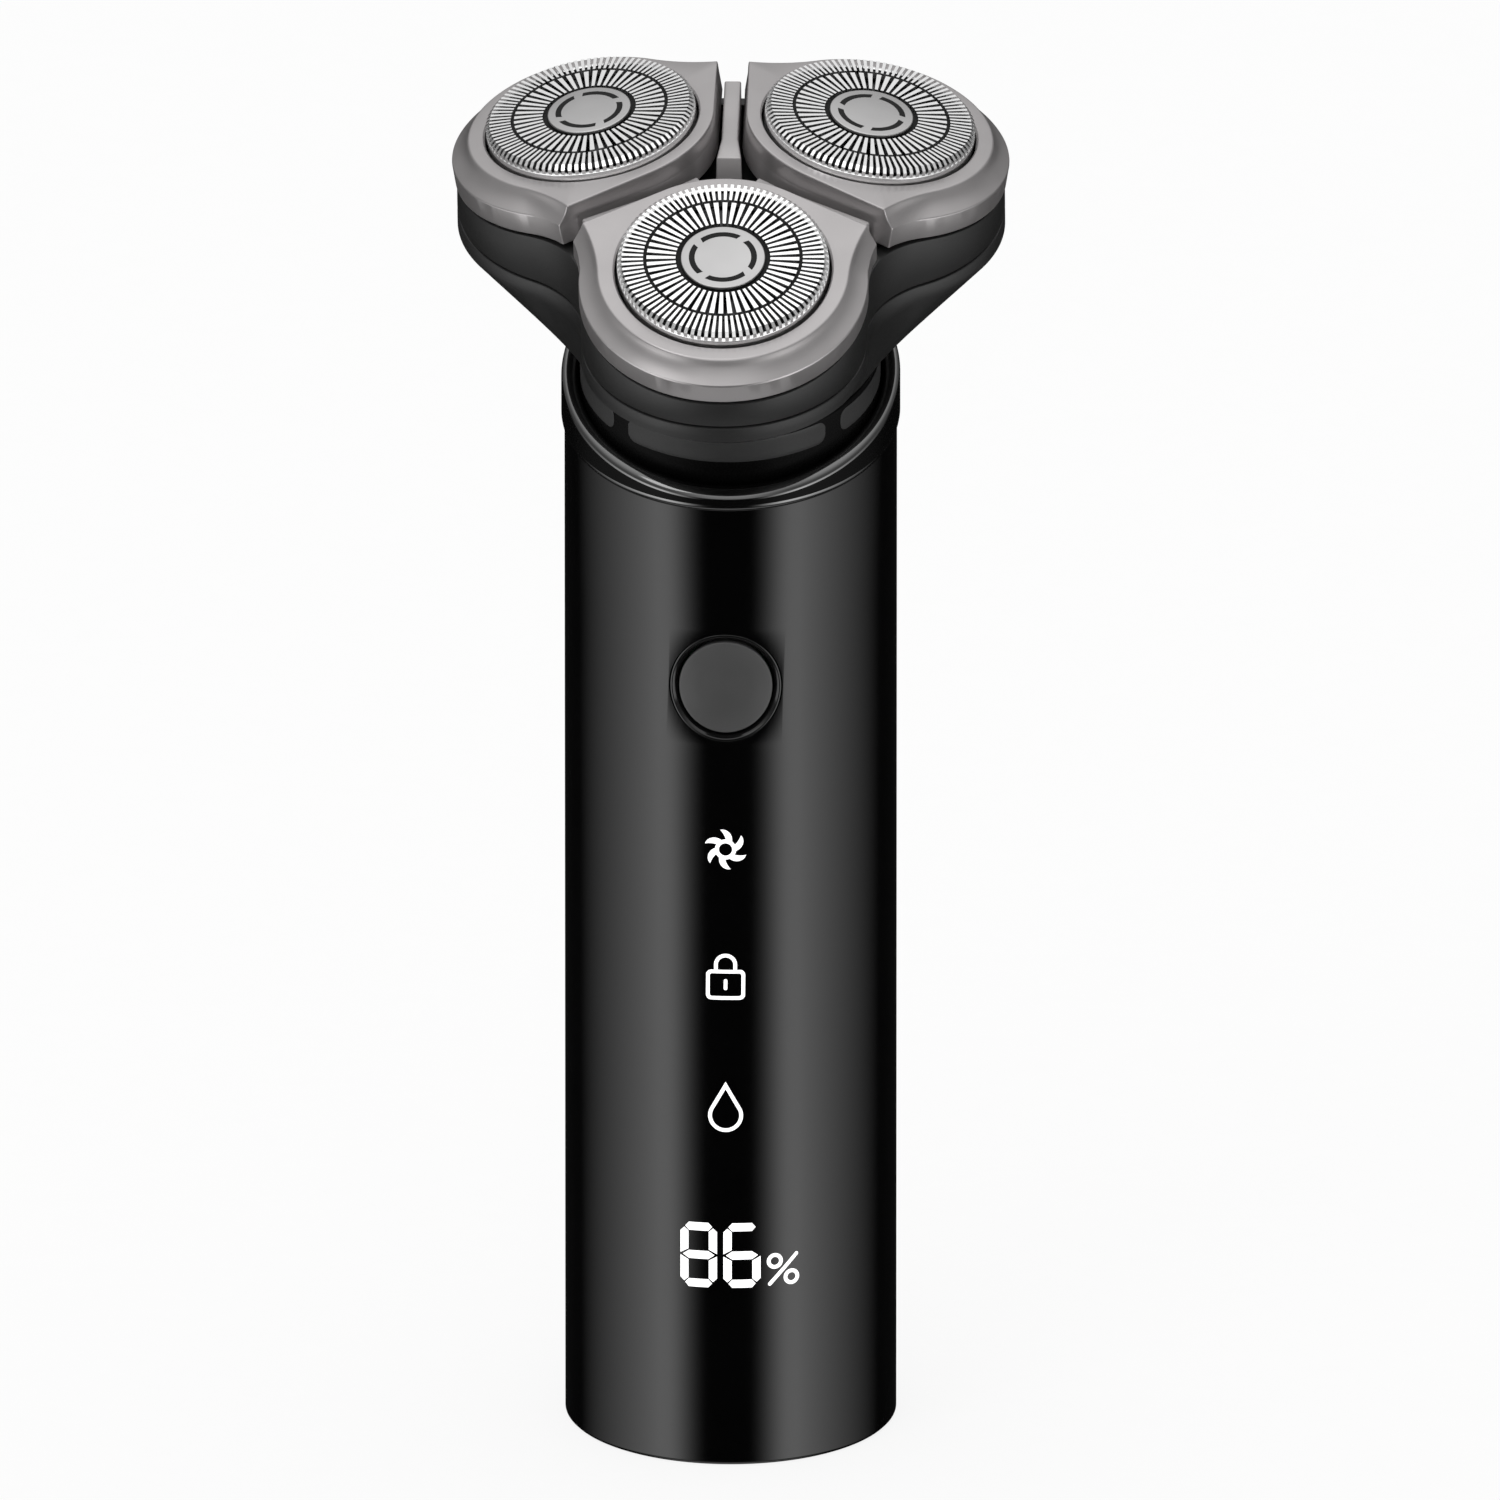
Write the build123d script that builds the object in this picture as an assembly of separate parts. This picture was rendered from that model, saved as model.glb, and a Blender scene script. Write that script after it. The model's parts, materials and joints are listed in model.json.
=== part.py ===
from build123d import *
import math
import os

# Electric shaver with three rotary cutting heads. Millimetres, +Z up, origin at the centre of the base.
# The face with the button looks along -Y. The head leans forward over that face.

# Handle
BODY_RADIUS = 19.0
BODY_WALL = 1.6
BODY_HEIGHT = 117.0
EDGE_ROUND = 0.5
BORE_RADIUS = BODY_RADIUS - BODY_WALL
COLLAR_RADIUS = 19.35
COLLAR_BORE = 17.45
COLLAR_SLOPE = 24.0
COLLAR_FRONT = 118.6
COLLAR_LIP = 0.7
SEAM_SLOPE = 14.0
SEAM_FRONT = 116.4

# Reach of cutting shapes: a little past a face, and right through the part
PAST = 1.0
THROUGH = 40.0

# Button, digits and signs on the front
BUTTON_HEIGHT = 94.8
BUTTON_RADIUS = 5.5
BUTTON_INSET = 0.15
BUTTON_TRAVEL = 0.5
BUTTON_FLANGE = -16.1
FLANGE_THICK = 0.7
FLANGE_LIP = 0.75
BEZEL_RADIUS = 6.5
BEZEL_PLAY = 0.3
BEZEL_FUNNEL = (6.8, 5.4, 1.8)
DIGITS_HEIGHT = 25.7
DIGITS_BOX = (19.0, 2.4, 12.0)
ICON_HEIGHTS = (43.8, 59.7, 75.2)
GUIDE_HALF = 2.0
GUIDE_THICK = 1.2
GUIDE_MARGIN = 3.5
GUIDE_PAD = 3.2
GUIDE_REACH = 4.5

# Inside the handle
BOARD_BACK = -10.0
BOARD_THICK = 1.2
BOARD_HALF = 12.3
BOARD_BOTTOM = 13.0
BOARD_TOP = 102.0
BOARD_FRONT = BOARD_BACK - BOARD_THICK
SWITCH_HALF = 3.0
SWITCH_DEPTH = 2.0
SWITCH_PLAY = 0.15
SWITCH_TIP = BUTTON_FLANGE + FLANGE_THICK + BUTTON_TRAVEL + SWITCH_PLAY
PLUNGER_RADIUS = 1.5
CHASSIS_RADIUS = 17.1
CHASSIS_WALL = 1.2
CHASSIS_BOTTOM = 11.0
CHASSIS_TOP = 100.0
SHELF_LEVELS = (11.0, 82.0)
SHELF_THICK = 3.0
SHELF_WINDOW = 5.0
CELL_RADIUS = 7.0
CELL_LENGTH = 50.0
CELL_BOTTOM = 15.0
CELL_OFFSET = 5.5
CELL_POLE = 2.8
CELL_POLE_HEIGHT = 1.0
TAB_THICK = 0.3
TAB_HALF = 2.5
TAB_REACH = 3.0
CAP_THICK = 2.5
CAP_SPIGOT = 15.8
CAP_WALL = 1.6
CAP_HEIGHT = 10.0
SEAL_LEVEL = 6.0
SEAL_SECTION = 1.0
SEAL_DEPTH = 0.4
SOCKET_WIDTH = 9.0
SOCKET_DEPTH = 3.2
SOCKET_LENGTH = 7.5
SOCKET_OFFSET = 8.0
SOCKET_SINK = 0.3
SOCKET_WALL = 0.3
SOCKET_BACK = 0.8
TONGUE_HALF = (3.3, 0.35)
TONGUE_LEVELS = (1.2, 7.0)
SCREW_RADIUS = 0.8
SCREW_HEAD = 1.5
SCREW_HEAD_HEIGHT = 0.8
SCREW_BITE = 3.5
SCREW_HOLE = 4.0
SLOT_HALF = 0.2
SLOT_DEPTH = 0.4

# Head axis and lobes
HEAD_TILT = 17.0
HEAD_CENTRE = (0.0, -10.3, 155.6)
LOBE_ANGLES = (-90.0, 30.0, 150.0)
LOBE_SPREAD = 18.6
LOBE_CANT = 10.0
TILT_RANGE = 4.0
SIN60 = math.sin(math.radians(60))

# Levels in a lobe, measured along the lobe's own axis from the foil face; pairs are top and skirt
LOBE_TOP = -1.7
LOBE_SKIRT = -3.9
LOBE_BOTTOM = -6.6
LOBE_PLATE = 1.6
LOBE_WALL = 1.0
LOBE_EDGE = 0.25
LOBE_SPREADS = (18.6, 18.2)
LOBE_RADII = (14.3, 16.5)
EAR_REACH = (19.8, 20.9)
HALF_GAPS = (1.95, 1.8)
SHADOW_GAP = 0.35
TILT_AXIS = -9.6
RETAINER_LEVELS = (-6.5, -5.3)
RETAINER_BORE = 9.5
SKIRT_BOTTOM = -8.4
SKIRT_INSETS = (2.3, 3.2)
SKIRT_NOTCH = 3.2
LUG_NEAR = 11.4
LUG_FAR = 13.0
LUG_HALF = 2.0
LUG_DROP = 1.3
PIN_RADIUS = 0.9
PIN_NEAR = 11.0
PIN_FAR = 15.0
BOSS_NEAR = 13.3
BOSS_INSET = 0.8
BOSS_HALF = 2.2
BOSS_DROP = 2.3
BOSS_CLEAR = 0.6

# Foil, cap and cutter
FOIL_RADIUS = 12.1
FOIL_GAP = 0.3
FOIL_FLANGE = 12.65
FOIL_THICK = 0.8
FOIL_WALL = 0.6
FOIL_CHAMFER = 0.5
FLANGE_TOP = LOBE_TOP - LOBE_PLATE - 0.15
TRACK_SPLIT = 8.9
GROOVE_HALF = 0.2
GROOVE_DEPTH = 0.3
CAP_RECESS = 5.3
CAP_RADIUS = 4.8
CAP_STEM = 2.4
CAP_SINK = 0.3
CAP_RISE = 0.15
CAP_ARC = 3.55
ARC_HALF = 0.22
ARC_DEPTH = 0.25
ARC_BRIDGE = 0.5
CUTTER_RADIUS = 11.0
CUTTER_TOP = -0.95
CUTTER_DEPTH = 1.7
CARRIER_THICK = 0.7
BLADE_INSET = 0.4
SLIT_HALF = 0.6
BLADES = 15
HUB_RADIUS = 3.4
HUB_BOTTOM = -6.6
SOCKET_FLATS = 4.4

# Levels in the head, measured along the head axis from the plane of the foil centres
DECK_TOP = -11.6
PARTING = -13.0
GEAR_TOP = -13.5
SHOULDER = -15.0
GEAR_BOTTOM = -16.0
PLATE_TOP = -16.3
PLATE_BOTTOM = -17.5
CENTRE_HUB_BOTTOM = -21.0
FUNNEL_BOTTOM = -26.4
FUNNEL_FLOOR = 1.5
FUNNEL_WALL = 2.1
FUNNEL_OUTER = ((0, PARTING), (0.1, SHOULDER + 0.4), (1.2, SHOULDER - 1.2))
FUNNEL_INNER = ((1.6, PARTING + PAST), (1.7, SHOULDER + 0.6), (3.0, SHOULDER - 1.2))
KEEPER_THICK = 0.8
SHELL_WALL = 1.6
BASE_SPREAD = 17.3
BASE_RADIUS = 16.3
BASE_REACH = 20.5
PLATE_LOBE = 8.5
PLATE_REACH = 15.6
POST_CIRCLE = 13.0
POST_RADIUS = 2.0
RIB_SPAN = (1.0, 3.3, 18.4)
RIB_HALF = 0.95
RIB_FLARE = 1.8
RIB_NARROW = 6.0
RIB_TOP = -2.0
RIB_FALL = 1.0
RIB_SLANT = 12.0
SPIDER_RING = (5.5, 2.8, 1.2)

# Gears and drive
MODULE = 0.6
CENTRE_TEETH = 24
DRIVEN_TEETH = 35
GEAR_SPREAD = MODULE * (CENTRE_TEETH + DRIVEN_TEETH) / 2
BACKLASH = 0.16
RUNNING_FIT = 0.05
PIVOT_RADIUS = 1.6
JOURNAL_RADIUS = 2.2
SPINDLE_RADIUS = 1.5
SPINDLE_SHOULDER = -9.6
SPINDLE_TIP = -4.3
JOURNAL_RISE = 0.2
TIP_FLATS = 2.2
COUPLING_FLATS = 4.4
COUPLING_PLAY = 0.3
COUPLING_HUB = 3.4
COUPLING_BOTTOM = -26.2
COUPLING_TOP = -17.8
COUPLING_COLLAR = 1.6
COUPLING_HEADROOM = 0.6
SHAFT_TIP = COUPLING_TOP - 2.0
CENTRE_HUB_RADIUS = 4.0

# Neck and motor
NECK_RADIUS = 17.1
NECK_WALL = 1.5
NECK_TOP = -26.6
NECK_SINK = 2.0
NECK_RIM = (3.5, 1.0)
NECK_RIM_WIDTH = 2.0
ROOF = 2.4
SEAT_RADIUS = 8.0
SEAT_WALL = 2.0
SEAT_HEIGHT = 1.4
SEAT_PLAY = 0.25
SEAL_RADIUS = 4.0
MAGNET_CIRCLE = 11.5
MAGNET_RADIUS = 2.5
MAGNET_DEPTH = 1.5
PANEL_HALF_ANGLE = 41.0
PANEL_MIDDLE = -28.6
PANEL_HEIGHT = 3.0
PANEL_CORNER = 1.0
PANEL_DEPTH = 0.7
PANEL_SINK = 0.05
MOUNT_PLATE = 2.0
MOUNT_RADIUS = 13.6
MOUNT_LEVEL = NECK_TOP - ROOF - MOUNT_PLATE
MOTOR_RADIUS = 10.0
MOTOR_LENGTH = 19.0
MOTOR_EDGE = 1.0
MOTOR_BOSS = 3.0
FRONT_BOSS = 1.6
REAR_BOSS = 1.2
BOSS_PLAY = 0.1
MOTOR_WALL = 1.2
MOTOR_HEADROOM = 4.0
ARMATURE_RADIUS = 7.6
ARMATURE_PLAY = 0.6
SCREW_OFFSET = 6.5
SCREW_SINK = 1.0
MOTOR_THREAD = 3.0
MOTOR_CAVITY = (MOUNT_LEVEL - MOTOR_LENGTH + MOTOR_WALL, MOUNT_LEVEL - MOTOR_HEADROOM)
SHAFT_RADIUS = 1.0
SHAFT_TAIL = 2.0

HEAD = Location(HEAD_CENTRE, (HEAD_TILT, 0, 0))
MIN_Z = (Align.CENTER, Align.CENTER, Align.MIN)


def lobe(number):
    """Frame of one lobe: x outwards, y along the rim, z along the foil's axis."""
    return HEAD * Rot(0, 0, LOBE_ANGLES[number]) * Pos(LOBE_SPREAD, 0, 0) * Rot(0, LOBE_CANT, 0)


def spoke(number):
    """Frame on the head axis with x towards one lobe."""
    return HEAD * Rot(0, 0, LOBE_ANGLES[number])


def disc(radius, bottom, top):
    """Upright solid cylinder between two levels."""
    return Pos(0, 0, bottom) * Cylinder(radius, top - bottom, align=MIN_Z)


def ring(outer, inner, bottom, top):
    """Upright tube between two levels."""
    return disc(outer, bottom, top) - disc(inner, bottom - PAST, top + PAST)


def block(x_range, y_range, z_range):
    """Box given by its lowest and highest value on each axis."""
    sizes = [high - low for low, high in (x_range, y_range, z_range)]
    middles = [(high + low) / 2 for low, high in (x_range, y_range, z_range)]
    return Pos(*middles) * Box(*sizes)


def screw(length):
    """Slotted screw pointing down, with the underside of its head at the origin."""
    head = disc(SCREW_HEAD, 0, SCREW_HEAD_HEIGHT)
    reach = SCREW_HEAD + PAST
    slot_bottom = SCREW_HEAD_HEIGHT - SLOT_DEPTH
    head -= block((-reach, reach), (-SLOT_HALF, SLOT_HALF), (slot_bottom, SCREW_HEAD_HEIGHT + PAST))
    return head + disc(SCREW_RADIUS, -length, 0)


def plug(radius, near, far, height):
    """Cylinder along Y at a height, from the near to the far Y."""
    return Pos(0, near, height) * Rot(-90, 0, 0) * Cylinder(radius, far - near, align=MIN_Z)


def prism(wire, bottom, top):
    """Straight solid over a flat outline."""
    return extrude(Pos(0, 0, bottom) * Face(wire), amount=top - bottom, dir=(0, 0, 1))


def stack(sections):
    """Ruled solid through outlines, each given with its level."""
    return Solid.make_loft([Pos(0, 0, level) * wire for wire, level in sections], ruled=True)


def polar(radius, degrees):
    """Point on a circle."""
    angle = math.radians(degrees)
    return (radius * math.cos(angle), radius * math.sin(angle))


def flip(point):
    """The same point on the other side of the lobe."""
    return (point[0], -point[1])


def ear_points(spread, outer, reach, half_gap):
    """Tangent point, middle and corner of the hollow curve that leads from a lobe's arc to its ear."""
    rise = reach - outer
    far = (spread ** 2 - rise ** 2) / (spread - 2 * rise)
    hollow = far - reach
    centre = Vector(far / 2 - spread, far * SIN60)
    start = centre.normalized() * outer
    along = far - math.sqrt(hollow ** 2 - half_gap ** 2)
    corner = Vector(along / 2 - spread + half_gap * SIN60, along * SIN60 - half_gap / 2)
    bisector = (start - centre).normalized() + (corner - centre).normalized()
    middle = centre + bisector.normalized() * hollow
    return [(point.X, point.Y) for point in (start, middle, corner)]


def lobe_outline(spread, outer, reach, half_gap):
    """Closed outline of one lobe, about its own centre."""
    start, middle, corner = ear_points(spread, outer, reach, half_gap)
    inner = spread * SIN60 - half_gap
    foot = (-inner * SIN60, inner / 2)
    return Wire([
        ThreePointArc(flip(start), (outer, 0), start),
        ThreePointArc(start, middle, corner),
        Line(corner, foot),
        ThreePointArc(foot, (-inner, 0), flip(foot)),
        Line(flip(foot), flip(corner)),
        ThreePointArc(flip(corner), flip(middle), flip(start)),
    ])


def trefoil(outer, reach, circle=None):
    """Outline round all three lobes; with a circle radius, that circle in matching arcs."""
    start = ear_points(BASE_SPREAD, outer, reach, 0)[0]
    span = (start[0] + BASE_SPREAD, start[1])
    length = math.hypot(*span)
    swing = math.degrees(math.atan2(span[1], span[0]))
    if circle:
        length = circle
        outer_tip = circle
        valley = circle
    else:
        outer_tip = BASE_SPREAD + outer
        valley = reach
    edges = []
    for angle in LOBE_ANGLES:
        edges.append(ThreePointArc(
            polar(length, angle - swing), polar(outer_tip, angle), polar(length, angle + swing)))
        edges.append(ThreePointArc(
            polar(length, angle + swing), polar(valley, angle + 60), polar(length, angle + 120 - swing)))
    return Wire(edges)


def involute_gear(teeth, bottom, top):
    """Spur gear with three points on each flank, thinned by the backlash."""
    pitch = MODULE * teeth / 2
    base = pitch * math.cos(math.radians(20))
    root = pitch - 1.25 * MODULE
    tip = pitch + MODULE
    half_tooth = math.pi / (2 * teeth) - BACKLASH / (4 * pitch)
    flat = math.tan(math.acos(base / pitch))
    pitch_roll = flat - math.atan(flat)
    flank = []
    for radius in (max(base, root), pitch, tip):
        slope = math.tan(math.acos(min(1, base / radius)))
        flank.append((radius, math.degrees(half_tooth + pitch_roll - slope + math.atan(slope))))
    flank.insert(0, (root, flank[0][1]))
    points = []
    for tooth in range(teeth):
        middle = 360 / teeth * tooth
        points += [polar(radius, middle - half) for radius, half in flank]
        points += [polar(radius, middle + half) for radius, half in reversed(flank)]
    return prism(Wire.make_polygon([Vector(*point) for point in points]), bottom, top)


def hexagon(flats, bottom, top):
    """Hexagonal prism between two levels."""
    outline = RegularPolygon(flats / 2, 6, major_radius=False)
    return extrude(Pos(0, 0, bottom) * outline, amount=top - bottom)


def rim_edges(shape, radius):
    """Circular edges of one radius about the Z axis."""
    circles = shape.edges().filter_by(GeomType.CIRCLE)
    return [edge for edge in circles if abs(edge.radius - radius) < 0.01]


def space_above(front, slope):
    """All that lies above a plane that rises from the front of the handle to its back."""
    plane = Location((0, -BODY_RADIUS, front), (slope, 0, 0))
    return plane * block((-THROUGH, THROUGH), (-THROUGH, 2 * THROUGH), (0, 2 * THROUGH))


def body_sleeve():
    tube = ring(BODY_RADIUS, BORE_RADIUS, 0, BODY_HEIGHT + THROUGH) - space_above(SEAM_FRONT, SEAM_SLOPE)
    tube = fillet(rim_edges(tube, BODY_RADIUS), EDGE_ROUND)
    return tube - plug(BEZEL_RADIUS, -BODY_RADIUS - PAST, 0, BUTTON_HEIGHT)


def neck_collar():
    """Glossy ring on the sleeve, low at the front and high at the back, with a round lip."""
    collar = ring(COLLAR_RADIUS, COLLAR_BORE, 0, BODY_HEIGHT + THROUGH) & space_above(SEAM_FRONT, SEAM_SLOPE)
    collar -= space_above(COLLAR_FRONT, COLLAR_SLOPE)
    ovals = collar.edges().filter_by(GeomType.ELLIPSE)
    lip = sorted(ovals, key=lambda oval: oval.bounding_box().max.Z)[-2:]
    return fillet(lip, COLLAR_LIP)


def neck_solid(shrink, bottom, top):
    """Leaning cylinder kept inside the collar's bore; shrink takes it in all round."""
    leaning = HEAD * disc(NECK_RADIUS - shrink, NECK_TOP - THROUGH, top)
    upright = disc(NECK_RADIUS - shrink, bottom, BODY_HEIGHT + THROUGH)
    return leaning & upright


def panel_cut(inner, outer):
    """Four round-cornered windows round the neck, as one curved layer."""
    width = 2 * NECK_RADIUS * math.sin(math.radians(PANEL_HALF_ANGLE))
    window = RectangleRounded(width, PANEL_HEIGHT, PANEL_CORNER)
    layer = ring(outer, inner, PANEL_MIDDLE - PANEL_HEIGHT, PANEL_MIDDLE + PANEL_HEIGHT)
    panels = []
    for quarter in range(4):
        face = Rot(0, 0, 90 * quarter) * Pos(0, 0, PANEL_MIDDLE) * Rot(90, 0, 0) * window
        panels.append(HEAD * (extrude(face, amount=THROUGH) & layer))
    return panels


def neck_housing():
    ceiling = NECK_TOP - ROOF
    rim_bottom, rim_top = [BODY_HEIGHT - drop for drop in NECK_RIM]
    shell = neck_solid(0, BODY_HEIGHT - NECK_SINK, NECK_TOP)
    shell -= neck_solid(NECK_WALL, rim_bottom - PAST, ceiling)
    shell += ring(BORE_RADIUS, NECK_RADIUS - NECK_RIM_WIDTH, rim_bottom, rim_top)
    shell += HEAD * ring(SEAT_RADIUS, SEAT_RADIUS - SEAT_WALL, NECK_TOP - PAST, NECK_TOP + SEAT_HEIGHT)
    shell -= HEAD * disc(SEAL_RADIUS, ceiling - PAST, NECK_TOP + SEAT_HEIGHT + PAST)
    for angle in LOBE_ANGLES:
        spot = HEAD * Pos(*polar(MAGNET_CIRCLE, angle))
        shell -= spot * disc(MAGNET_RADIUS, ceiling - PAST, ceiling + MAGNET_DEPTH)
    for cut in panel_cut(NECK_RADIUS - PANEL_DEPTH, NECK_RADIUS + PAST):
        shell -= cut
    return shell


def neck_panels():
    return Compound(panel_cut(NECK_RADIUS - PANEL_DEPTH, NECK_RADIUS - PANEL_SINK))


def seat_magnets():
    level = NECK_TOP - ROOF
    return Compound([
        HEAD * Pos(*polar(MAGNET_CIRCLE, angle)) * disc(MAGNET_RADIUS, level, level + MAGNET_DEPTH)
        for angle in LOBE_ANGLES])


def shaft_seal():
    return HEAD * ring(SEAL_RADIUS, SHAFT_RADIUS + RUNNING_FIT, NECK_TOP - ROOF, NECK_TOP)


def motor_mount():
    plate = disc(MOUNT_RADIUS, MOUNT_LEVEL, NECK_TOP - ROOF)
    plate -= disc(MOTOR_BOSS + BOSS_PLAY, MOUNT_LEVEL - PAST, NECK_TOP)
    for side in (-1, 1):
        spot = Pos(side * SCREW_OFFSET, 0, 0)
        plate -= spot * disc(SCREW_RADIUS, MOUNT_LEVEL - PAST, NECK_TOP)
        plate -= spot * disc(SCREW_HEAD, NECK_TOP - ROOF - SCREW_SINK, NECK_TOP)
    return HEAD * plate


def motor_screws():
    level = NECK_TOP - ROOF - SCREW_SINK
    length = level - MOUNT_LEVEL + MOTOR_THREAD
    return Compound([HEAD * Pos(side * SCREW_OFFSET, 0, level) * screw(length) for side in (-1, 1)])


def motor_can():
    low, high = MOTOR_CAVITY
    bottom = MOUNT_LEVEL - MOTOR_LENGTH
    can = disc(MOTOR_RADIUS, bottom, MOUNT_LEVEL)
    can = fillet(rim_edges(can, MOTOR_RADIUS), MOTOR_EDGE)
    can -= disc(MOTOR_RADIUS - MOTOR_WALL, low, high)
    can += disc(MOTOR_BOSS, high, MOUNT_LEVEL + FRONT_BOSS)
    can += disc(MOTOR_BOSS, bottom - REAR_BOSS, low)
    can -= disc(SHAFT_RADIUS + RUNNING_FIT, bottom - THROUGH, NECK_TOP)
    for side in (-1, 1):
        can -= Pos(side * SCREW_OFFSET, 0, 0) * disc(SCREW_RADIUS, MOUNT_LEVEL - MOTOR_THREAD, NECK_TOP)
    return HEAD * can


def motor_armature():
    low, high = MOTOR_CAVITY
    core = disc(ARMATURE_RADIUS, low + ARMATURE_PLAY, high - ARMATURE_PLAY)
    return HEAD * (core - disc(SHAFT_RADIUS, low, high))


def motor_shaft():
    return HEAD * disc(SHAFT_RADIUS, MOUNT_LEVEL - MOTOR_LENGTH - SHAFT_TAIL, SHAFT_TIP)


def drive_coupling():
    hub = disc(COUPLING_HUB, COUPLING_BOTTOM, COUPLING_BOTTOM + COUPLING_COLLAR)
    hub += hexagon(COUPLING_FLATS, COUPLING_BOTTOM, COUPLING_TOP)
    return HEAD * (hub - disc(SHAFT_RADIUS, COUPLING_BOTTOM - PAST, SHAFT_TIP))


def base_cap():
    cap = disc(BORE_RADIUS, 0, CAP_THICK) + disc(CAP_SPIGOT, 0, CAP_HEIGHT)
    cap -= disc(CAP_SPIGOT - CAP_WALL, CAP_THICK, CAP_HEIGHT + PAST)
    groove = (SEAL_LEVEL - SEAL_SECTION, SEAL_LEVEL + SEAL_SECTION)
    cap -= ring(BORE_RADIUS + PAST, CAP_SPIGOT - SEAL_DEPTH, *groove)
    return cap - prism(socket_outline(SOCKET_WIDTH, SOCKET_DEPTH), -PAST, CAP_HEIGHT)


def base_seal():
    middle = CAP_SPIGOT - SEAL_DEPTH + SEAL_SECTION
    return Pos(0, 0, SEAL_LEVEL) * Torus(middle, SEAL_SECTION)


def socket_outline(width, depth):
    """Round-ended outline of the charging socket."""
    return Pos(0, SOCKET_OFFSET, 0) * SlotOverall(width, depth).face().outer_wire()


def charge_socket():
    walls = 2 * SOCKET_WALL
    hollow = socket_outline(SOCKET_WIDTH - walls, SOCKET_DEPTH - walls)
    shell = prism(socket_outline(SOCKET_WIDTH, SOCKET_DEPTH), SOCKET_SINK, SOCKET_LENGTH)
    shell -= prism(hollow, 0, SOCKET_LENGTH - SOCKET_BACK)
    wide, thick = TONGUE_HALF
    return shell + block((-wide, wide), (SOCKET_OFFSET - thick, SOCKET_OFFSET + thick), TONGUE_LEVELS)


def chassis():
    """Rear cradle for the cell, with two shelves that the board is screwed to."""
    cradle = ring(CHASSIS_RADIUS, CHASSIS_RADIUS - CHASSIS_WALL, CHASSIS_BOTTOM, CHASSIS_TOP)
    for level in SHELF_LEVELS:
        cradle += disc(CHASSIS_RADIUS - CHASSIS_WALL / 2, level, level + SHELF_THICK)
    cradle = cradle & block((-THROUGH, THROUGH), (BOARD_BACK, THROUGH), (0, BODY_HEIGHT))
    window_top = SHELF_LEVELS[0] + SHELF_THICK + PAST
    cradle -= Pos(0, CELL_OFFSET, 0) * disc(SHELF_WINDOW, CHASSIS_BOTTOM, window_top)
    for level in SHELF_LEVELS:
        cradle -= plug(SCREW_RADIUS, BOARD_BACK - PAST, BOARD_BACK + SCREW_HOLE, level + SHELF_THICK / 2)
    return cradle


def battery_cell():
    top = CELL_BOTTOM + CELL_LENGTH
    cell = disc(CELL_RADIUS, CELL_BOTTOM, top) + disc(CELL_POLE, CELL_BOTTOM, top + CELL_POLE_HEIGHT)
    return Pos(0, CELL_OFFSET, 0) * cell


def battery_tabs():
    x_range = (-TAB_HALF, TAB_HALF)
    y_range = (BOARD_BACK, CELL_OFFSET + TAB_REACH)
    levels = (CELL_BOTTOM + CELL_LENGTH + CELL_POLE_HEIGHT, CELL_BOTTOM - TAB_THICK)
    return Compound([block(x_range, y_range, (level, level + TAB_THICK)) for level in levels])


def main_board():
    board = block((-BOARD_HALF, BOARD_HALF), (BOARD_FRONT, BOARD_BACK), (BOARD_BOTTOM, BOARD_TOP))
    for level in SHELF_LEVELS:
        board -= plug(SCREW_RADIUS, BOARD_FRONT - PAST, BOARD_BACK + PAST, level + SHELF_THICK / 2)
    return board


def board_screws():
    fixing = Rot(90, 0, 0) * screw(BOARD_THICK + SCREW_BITE)
    return Compound([Pos(0, BOARD_FRONT, level + SHELF_THICK / 2) * fixing for level in SHELF_LEVELS])


def display_module():
    width, depth, height = DIGITS_BOX
    box = block((-width / 2, width / 2), (BOARD_FRONT - depth, BOARD_FRONT),
                (DIGITS_HEIGHT - height / 2, DIGITS_HEIGHT + height / 2))
    return chamfer(box.faces().sort_by(Axis.Y)[0].edges(), EDGE_ROUND)


def light_guide():
    """Clear bar that carries light to the three signs, with a pad behind each."""
    levels = (ICON_HEIGHTS[0] - GUIDE_MARGIN, ICON_HEIGHTS[-1] + GUIDE_MARGIN)
    guide = block((-GUIDE_HALF, GUIDE_HALF), (BOARD_FRONT - GUIDE_THICK, BOARD_FRONT), levels)
    for height in ICON_HEIGHTS:
        guide += plug(GUIDE_PAD, BOARD_FRONT - GUIDE_REACH, BOARD_FRONT, height)
    return guide


def tact_switch():
    levels = (BUTTON_HEIGHT - SWITCH_HALF, BUTTON_HEIGHT + SWITCH_HALF)
    case = block((-SWITCH_HALF, SWITCH_HALF), (BOARD_FRONT - SWITCH_DEPTH, BOARD_FRONT), levels)
    return case + plug(PLUNGER_RADIUS, SWITCH_TIP, BOARD_FRONT, BUTTON_HEIGHT)


def button_bezel():
    """Ring in the sleeve's wall, with a mouth that narrows towards the button."""
    barrel = plug(BEZEL_RADIUS, -BODY_RADIUS - PAST, 0, BUTTON_HEIGHT)
    shell = barrel & ring(BODY_RADIUS, BORE_RADIUS, 0, BODY_HEIGHT)
    shell -= plug(BUTTON_RADIUS + BEZEL_PLAY, -BODY_RADIUS - PAST, 0, BUTTON_HEIGHT)
    mouth = Pos(0, -BODY_RADIUS, BUTTON_HEIGHT) * Rot(-90, 0, 0)
    return shell - mouth * Cone(*BEZEL_FUNNEL, align=MIN_Z)


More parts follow.
